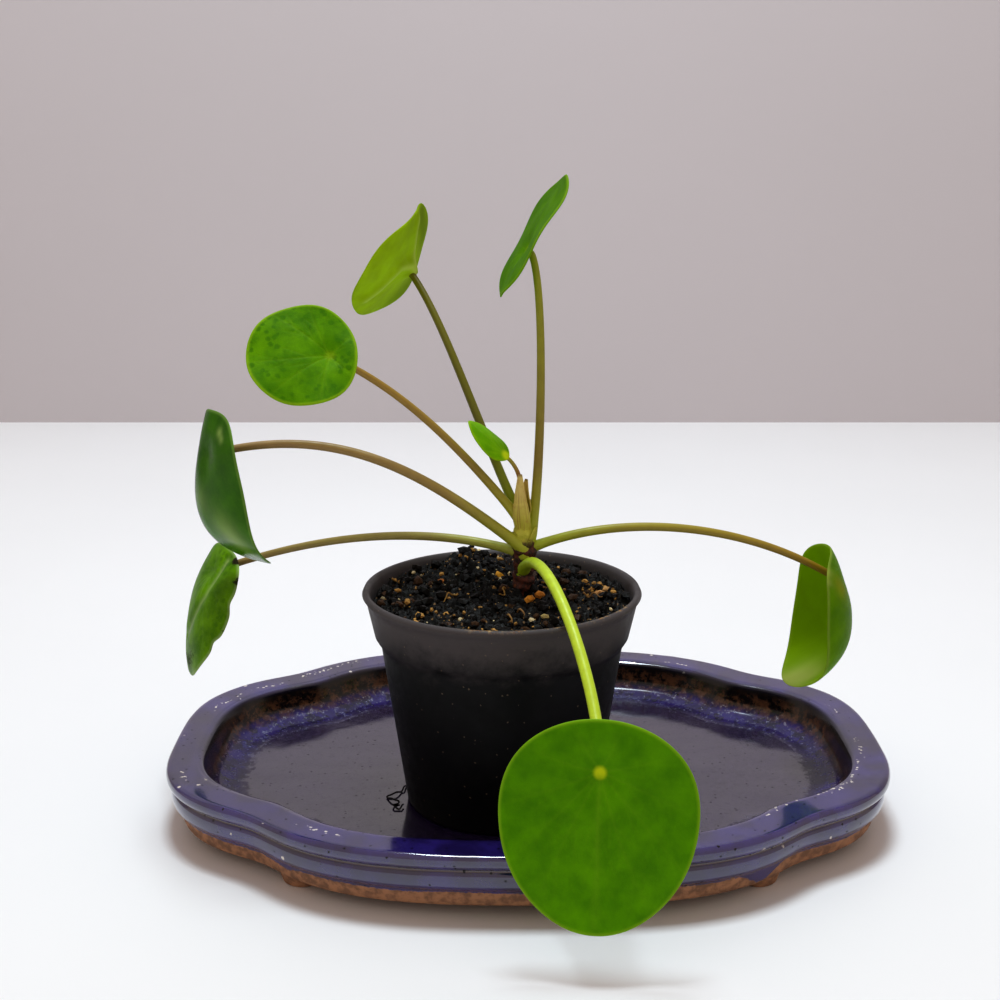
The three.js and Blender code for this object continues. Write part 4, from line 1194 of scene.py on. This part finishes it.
# %% The blades
BLADE_DETAILS = {  # marks are (along, across, radius, strength) and lines (along, across), in mm from the middle
    "upper_right": dict(seed=11, relief=0.03),
    "upper_middle": dict(
        seed=12, relief=0.02,
        # The pale lines along these ridges are painted highlights, and the shaded patches below are painted shade.
        ridges=[
            [(-3.6, 0.3), (-2.3, 1.9), (-0.1, 5.5), (2.4, 8.7), (3.1, 11.1)],
            [(-3.6, 0.3), (-2, 1.2), (1.8, 0), (3.4, -3.3), (4.3, -6.8), (5, -9.6)],
        ],
        shaded=[(-8.8, 7.9, 4.5, 0.9), (-2.6, 12.1, 4, 0.9), (-14.9, -2.6, 5, 0.9), (-10.8, -7.8, 4.5, 0.8)],
    ),
    "upper_left": dict(seed=13, veins=7, relief=0.07),
    "left": dict(
        seed=14, relief=0.0,
        # Painted highlights: a small bright spot near the base and a pale sheen towards the tip.
        painted_highlight_patches=[
            (7, 6.2, 4, 0.5), (10.2, 8.2, 3.5, 0.5), (1.8, -1.3, 3, 0.35), (-13.6, 5, 1.1, 0.9),
            (-12.4, 6.4, 0.9, 0.7),
        ],
    ),
    "lower_left": dict(
        seed=15, bites=[(312, 6, 0.07), (328, 7, 0.12), (112, 7, 0.05), (76, 6, 0.06)], relief=0.03,
        # The pale line along this ridge is a painted highlight on the fold.
        ridges=[[(-13.2, 3.2), (-8.4, 3.8), (-3.8, 4.1), (0.5, 2.8), (4.1, 1.5), (8, -2)]],
        spoiled=[
            (8.6, 8, 4, 0.36), (12.5, 4, 4, 0.42), (12, -2, 4, 0.42), (5.3, 14.6, 1.6, 0.45), (0.5, 15.3, 1.6, 0.45),
            (-5.4, 14.6, 1.6, 0.4), (-10.9, 11.6, 1.8, 0.6), (-14.5, 6.5, 1.6, 0.9),
        ],
    ),
    "right": dict(
        seed=16, relief=0.02,
        yellowed=[(-7.6, -8, 2.2, 0.55), (-9.8, -8.4, 1.8, 0.4)],
        # Painted highlights: at the tip and at the fold near the base.
        painted_highlight_patches=[(16, 1, 3.4, 0.8), (14.5, -3, 2.6, 0.5), (-12.8, -9.8, 1.3, 0.6), (-10.6, -11.4, 1, 0.5)],
    ),
    "front": dict(seed=17, relief=0.03, ridges=[[(-8, 0), (18, 0)]], ridge_height=0.05),
    "young": dict(seed=18, veins=7, relief=0.03, half=0.16),
}
for name, leaf in LEAVES.items():
    piece(
        f"leaf_{name}", blade_skin(leaf, **BLADE_DETAILS[name]), LEAF_FINISH[name],
        stands_for=[f"blade_{name}"],
    )

# %% [markdown]
# ## The stalks
# Each stalk is a cubic curve from the stem to the underside of its blade, drawn with a tapering tube that swells a
# little where it leaves the stem. The stalks turn from yellow-green at the stem to a brownish olive further out, and
# only the near one stays yellow-green. That colour is worked out along the curve and stored with the points.

# %% Stalk skins
STALK_TONES = {  # at the stem, in the middle and at the blade
    "upper_right": [(196, 212, 44), (152, 132, 52), (166, 176, 36)],
    "upper_middle": [(176, 196, 30), (108, 106, 8), (122, 116, 12)],
    "upper_left": [(190, 196, 50), (162, 138, 54), (174, 138, 58)],
    "left": [(196, 208, 60), (164, 140, 72), (174, 138, 90)],
    "lower_left": [(196, 210, 84), (170, 160, 84), (168, 138, 84)],
    "right": [(190, 212, 50), (170, 160, 54), (164, 126, 34)],
    "front": [(170, 204, 24), (206, 230, 60), (206, 230, 50)],
    "young": [(190, 112, 70), (180, 106, 66), (170, 172, 50)],
}
STEM_X, STEM_Y = -1.2, -12
STALK_STEPS = 140
STALK_SHORT = 0.15  # how far under the blade's middle surface a stalk ends


def bezier(p0, p1, p2, p3, steps):
    """(1-t)^3 p0 + 3t(1-t)^2 p1 + 3t^2(1-t) p2 + t^3 p3, then evenly spaced."""
    t = np.linspace(0, 1, 400)[:, None]
    p0, p1, p2, p3 = (np.array(p, float) for p in (p0, p1, p2, p3))
    curve = (1 - t) ** 3 * p0 + 3 * t * (1 - t) ** 2 * p1 + 3 * t**2 * (1 - t) * p2 + t**3 * p3
    return resampled(curve, steps)


def stalk_skin(name, leaf):
    """A tube whose radius runs from the first to the last value with the 0.7th power of the share covered. It
    starts inside the stem, 1 + 0.4 exp(-(mm / 4)^2) times as thick, and closes over its last millimetre."""
    at = np.array(-leaf["seat"]), np.array(0.0)
    seat = blade_surface(leaf, *at) - STALK_SHORT * blade_normal(leaf, *at)
    x, y, z = leaf["root"]
    inside_stem = [(x + STEM_X) / 2, (y + STEM_Y) / 2, z - 2]
    path = bezier((x, y, z), *leaf["bends"], seat, STALK_STEPS)
    path = resampled(np.concatenate([[inside_stem], path]), STALK_STEPS)
    share = np.linspace(0, 1, len(path))
    first, last = leaf["stalk"]
    radius = first + (last - first) * share**0.7
    length = np.sum(np.linalg.norm(np.diff(path, axis=0), axis=1))
    radius = radius * (1 + 0.4 * np.exp(-((share * length / 4) ** 2)))
    radius = radius * np.sqrt(np.clip((1 - share) * length / 1.2 + 0.15, 0, 1))
    tones = np.array([srgb(*tone) for tone in STALK_TONES[name]])
    tone = np.stack([np.interp(share, (0, 0.3, 1), tones[:, i]) for i in range(4)], -1)
    return tube(path, radius, sides=20, tone=tone[:, None])


# %% The stalks' finish
def paint_stalk(sketch):
    where = sketch.millimetres()
    drift = where.noise(0.5, 5)
    tone = sketch.mix(drift.fade(0.35, 0.7, 0.0, 0.12), sketch.stored("tone", "Color"), srgb(98, 76, 40))
    return {
        "Base Color": tone,
        "Roughness": drift.fade(0.3, 0.7, 0.36, 0.5),
        "Normal": grain(where, 4.0).bump(0.3, 0.06),
        "Lit": tone,
    }


STALK_SKIN = material("stalk_skin", paint_stalk, through=0.15)
for name, leaf in LEAVES.items():
    piece(f"stalk_{name}", stalk_skin(name, leaf), STALK_SKIN, stands_for=[f"petiole_{name}"])

# %% [markdown]
# ## The stem
# The stem is a short brown stump, knobby where old leaves have dropped, with dry scales peeling off it. The stump
# is a tube with noise on its radius. Each scale is a thin strip with two faces, because a bump in the material
# couldn't stand away from the stem.

# %% The stem's skin
STEM_PATH = [
    (-1.2, -12, 41), (-1.2, -12, 47), (-1.3, -12, 53), (-1.2, -12, 58), (-1.1, -12, 63), (-1.2, -12, 67),
    (-1.6, -12, 72), (-1.8, -12, 76),
]
STEM_RADII = [0.7, 2, 2.4, 2.3, 2.5, 2.1, 1.3, 0.7]
STEM_SCALES = [  # height, turn, length, half width
    (59.5, 20, 5.2, 1.5), (63.2, -25, 5.4, 1.5), (62, 75, 4, 1.3), (56.6, 230, 4, 1.4), (57.5, 120, 4.2, 1.3),
    (60.8, 250, 3.4, 1.1), (55.4, -50, 3.6, 1.3), (61.6, -60, 4.2, 1.2), (58.2, -85, 3.2, 1.2), (64.2, 190, 3, 1),
]
STEM_SIDES, SCALE_COLUMNS = 64, 15


def stem_axis(height):
    """The stem's middle at a height, read off its path."""
    path = np.array(STEM_PATH)
    return np.stack([np.interp(height, path[:, 2], path[:, i]) for i in (0, 1)] + [height + 0.0], -1)


def stem_radius(height):
    """The stem's radius at a height, read off its list."""
    return np.interp(height, [place[2] for place in STEM_PATH], STEM_RADII)


def stem_skin():
    """A tube with rough noise on its radius and a ring of raised leaf scars every two millimetres."""
    path = smooth_path(STEM_PATH, 150)
    height = path[:, 2:]
    angle = np.linspace(0, 2 * np.pi, STEM_SIDES, endpoint=False)
    scars = 0.06 * np.sin(3.1 * height + 1.5 * np.sin(angle + 1))
    swell = (0.14 * rough_noise(swept(2, angle, height), 1.8, 4, seed=41) + scars) * step_between(height, 44, 50)
    return tube(path, stem_radius(path[:, 2]), sides=STEM_SIDES, swell=swell)


# %% The scales' skins
def there_and_back(columns):
    """Places across a strip: -1 to 1 over its first face, and 1 to -1 under its second."""
    return np.concatenate([np.linspace(-1, 1, columns), np.linspace(1, -1, columns)])[None]


def scale_skin(height, turn, length, half_width, seed):
    """A thin curled tongue: its width falls as the root of 1 - 0.92 t^2, it leans out with t^1.5, and its long
    edges curl in towards the stem."""
    t = np.linspace(0, 1, 24)[:, None]
    across = there_and_back(SCALE_COLUMNS)
    face = np.repeat((0.5, -0.5), SCALE_COLUMNS)[None]
    out = np.array([np.cos(np.radians(turn)), np.sin(np.radians(turn)), 0])
    side = np.array([-out[1], out[0], 0])
    rag = lattice_noise(np.stack(np.broadcast_arrays(3 * t, 1.5 * across, 0.0), -1), 0.7, seed)
    width = half_width * np.sqrt(1 - 0.92 * t**2) * across * (1 + 0.15 * rag)
    away = stem_radius(height) - 0.85 + 0.34 * length * t**1.5 - 0.28 * half_width * across**2 + 0.12 * rag
    away = away + 0.3 * (1.1 - t) * face
    axis = stem_axis(height + length * t[:, 0])[:, None]
    return net(axis + side * width[..., None] + out * away[..., None])


# %% The bark's finish
def paint_bark(sketch):
    where = sketch.millimetres()
    drift = where.noise(0.8, 7, 0.7)
    height = sketch.add("SeparateXYZ", {"Vector": where}, out="Z")
    bark = sketch.layers(
        mottling(where, 0.9, 0.5, srgb(40, 18, 12), srgb(100, 44, 24)),
        (drift.fade(0.58, 0.7, 0.0, 0.7), srgb(158, 92, 44)),
        ((height + drift * 3.0).fade(65.8, 68.0), srgb(204, 204, 74)),
    )
    return {
        "Base Color": bark,
        "Roughness": drift.fade(0.3, 0.7, 0.5, 0.8),
        "Normal": grain(where, 3.0).bump(0.7, 0.25),
    }


BROWN_BARK = material("brown_bark", paint_bark)
scales = [scale_skin(*values, seed=50 + i) for i, values in enumerate(STEM_SCALES)]
piece("stem_and_scales", joined([stem_skin(), *scales]), BROWN_BARK, stands_for=["stem"])

# %% [markdown]
# ## The sheaths at the tip
# Two papery sheaths wrap the growing tip. Each is a strip of a narrowing cone that ends in a point, so one formula
# for its angle and its axis gives it. It is thin enough for light to come through.

# %% Sheath skins
SHEATHS = {
    "stipule_front": dict(low=67.2, high=80.2, start=205, end=325, radius=2.3, point=(-1.9, -13.2)),
    "stipule_back": dict(low=70, high=78.6, start=-20, end=110, radius=2.1, point=(-0.9, -11.6)),
}
SHEATH_ROWS, SHEATH_COLUMNS, SHEATH_THICKNESS = 60, 41, 0.22


def sheath_skin(low, high, start, end, radius, point):
    """A strip of a cone: its angle narrows as the root of 1 - 0.97 t^1.6 and its axis leans to the point."""
    t = np.linspace(0, 1, SHEATH_ROWS)[:, None]
    across = there_and_back(SHEATH_COLUMNS)
    face = np.repeat((1.0, 0.0), SHEATH_COLUMNS)[None]
    narrowing = np.sqrt(1 - 0.97 * t**1.6)
    height = low + (high - low) * t
    angle = np.radians((start + end) / 2) + np.radians(end - start) / 2 * (0.55 + 0.45 * narrowing) * across
    lean = t**2
    tip = np.concatenate([np.full((SHEATH_ROWS, 2), point), height], 1)
    centre = stem_axis(height[:, 0]) * (1 - lean) + tip * lean
    curve = radius * (1 - 0.65 * t**1.5) * np.where(t < 0.5, 1, (1 + narrowing) / 2)
    curve = curve * (0.72 + 0.28 * step_between(t, 0, 0.3))
    folds = 0.07 * np.sin(9 * across + 4 * t) * (1 - t)
    out = curve + folds + SHEATH_THICKNESS * face
    return net(swept(out, angle, height, centre[:, :1], centre[:, 1:2]), along=t, across=across)


# %% The sheaths' finish
def paint_paper(sketch):
    where = sketch.millimetres()
    drift = where.noise(0.7, 6, 0.65)
    along = sketch.stored("along")
    lines = sketch.add("CombineXYZ", {"X": sketch.stored("across") * 5.0, "Y": along})
    skin = sketch.layers(
        sketch.mix(along.fade(0.1, 0.8), srgb(222, 218, 84), srgb(242, 226, 140)),
        (drift.fade(0.5, 0.75, 0.0, 0.5), srgb(206, 158, 84)),
        (lines.noise(1.3, 3).fade(0.5, 0.7, 0.0, 0.7), srgb(176, 118, 58)),
        (along.fade(0.94, 1.0, 0.0, 0.7), srgb(130, 84, 46)),
    )
    return {
        "Base Color": skin,
        "Roughness": drift.fade(0.3, 0.7, 0.45, 0.65),
        "Normal": grain(where, 3.0).bump(0.5, 0.1),
        "Lit": skin,
    }


PAPERY = material("papery_sheath", paint_paper, through=0.3)
for name, values in SHEATHS.items():
    piece(name.replace("stipule", "sheath"), sheath_skin(**values), PAPERY, stands_for=[name])

# %% [markdown]
# ## Floor, backdrop and light
# The floor is plain and pale and the backdrop a plain warm grey, far enough back to stay out of the way when the
# camera goes round. One soft light hangs overhead, so shadows lie close under the tray, and its reflection draws
# the thin bright line along the front rim. A pale room all round fills the shadows.

# %% Floor and backdrop
ROOM_SIDE, ROOM_FRONT, ROOM_BACK, ROOM_HEIGHT = 1500, -1500, 452, 900


def plain(name, near, far, colour, roughness):
    """A flat sheet between two level edges, which isn't part of the object. An edge is a depth and a height, in
    millimetres from the tray's middle."""

    def paint(sketch):
        drift = sketch.millimetres().noise(0.004, 3)
        return {"Base Color": sketch.mix(drift.fade(0.3, 0.7, 0.0, 0.04), colour, srgb(150, 150, 150))}

    corners = [(-ROOM_SIDE, *near), (ROOM_SIDE, *near), (ROOM_SIDE, *far), (-ROOM_SIDE, *far)]
    mesh = bpy.data.meshes.new(name)
    mesh.from_pydata(placed(corners), [], [(0, 1, 2, 3)])
    mesh.materials.append(material(name, paint, Roughness=roughness))
    sheet = bpy.data.objects.new(name, mesh)
    bpy.context.scene.collection.objects.link(sheet)


plain("floor", (ROOM_FRONT, 0), (ROOM_BACK, 0), srgb(238, 238, 240), 0.5)
plain("backdrop", (ROOM_BACK, 0), (ROOM_BACK, ROOM_HEIGHT), srgb(199, 192, 195), 0.8)


# %% Lights
def soft_light(name, place, aim, wide, deep, watts, colour):
    """A rectangular light at a place, turned to face a point. Both are in millimetres from the tray's middle."""
    light = bpy.data.lights.new(name, "AREA")
    light.shape, light.size, light.size_y = "RECTANGLE", wide * MM, deep * MM
    light.energy, light.color = watts, colour
    lamp = bpy.data.objects.new(name, light)
    lamp.location = Vector(placed(place))
    way = Vector(placed(aim)) - lamp.location
    lamp.rotation_euler = way.to_track_quat("-Z", "Y").to_euler()
    bpy.context.scene.collection.objects.link(lamp)
    print("light:", name, watts, "W at", place)


soft_light("overhead", (-20, 70, 900), (0, 0, 0), 260, 220, 6.2, (0.80, 0.93, 1.0))

world = bpy.data.worlds.new("pale_room")
bpy.context.scene.world = world
world.use_nodes = True
background = world.node_tree.nodes["Background"].inputs
background["Color"].default_value = srgb(226, 209, 196)
background["Strength"].default_value = 0.8
bpy.context.scene.view_settings.view_transform = "Standard"
bpy.context.scene.view_settings.gamma = 0.88
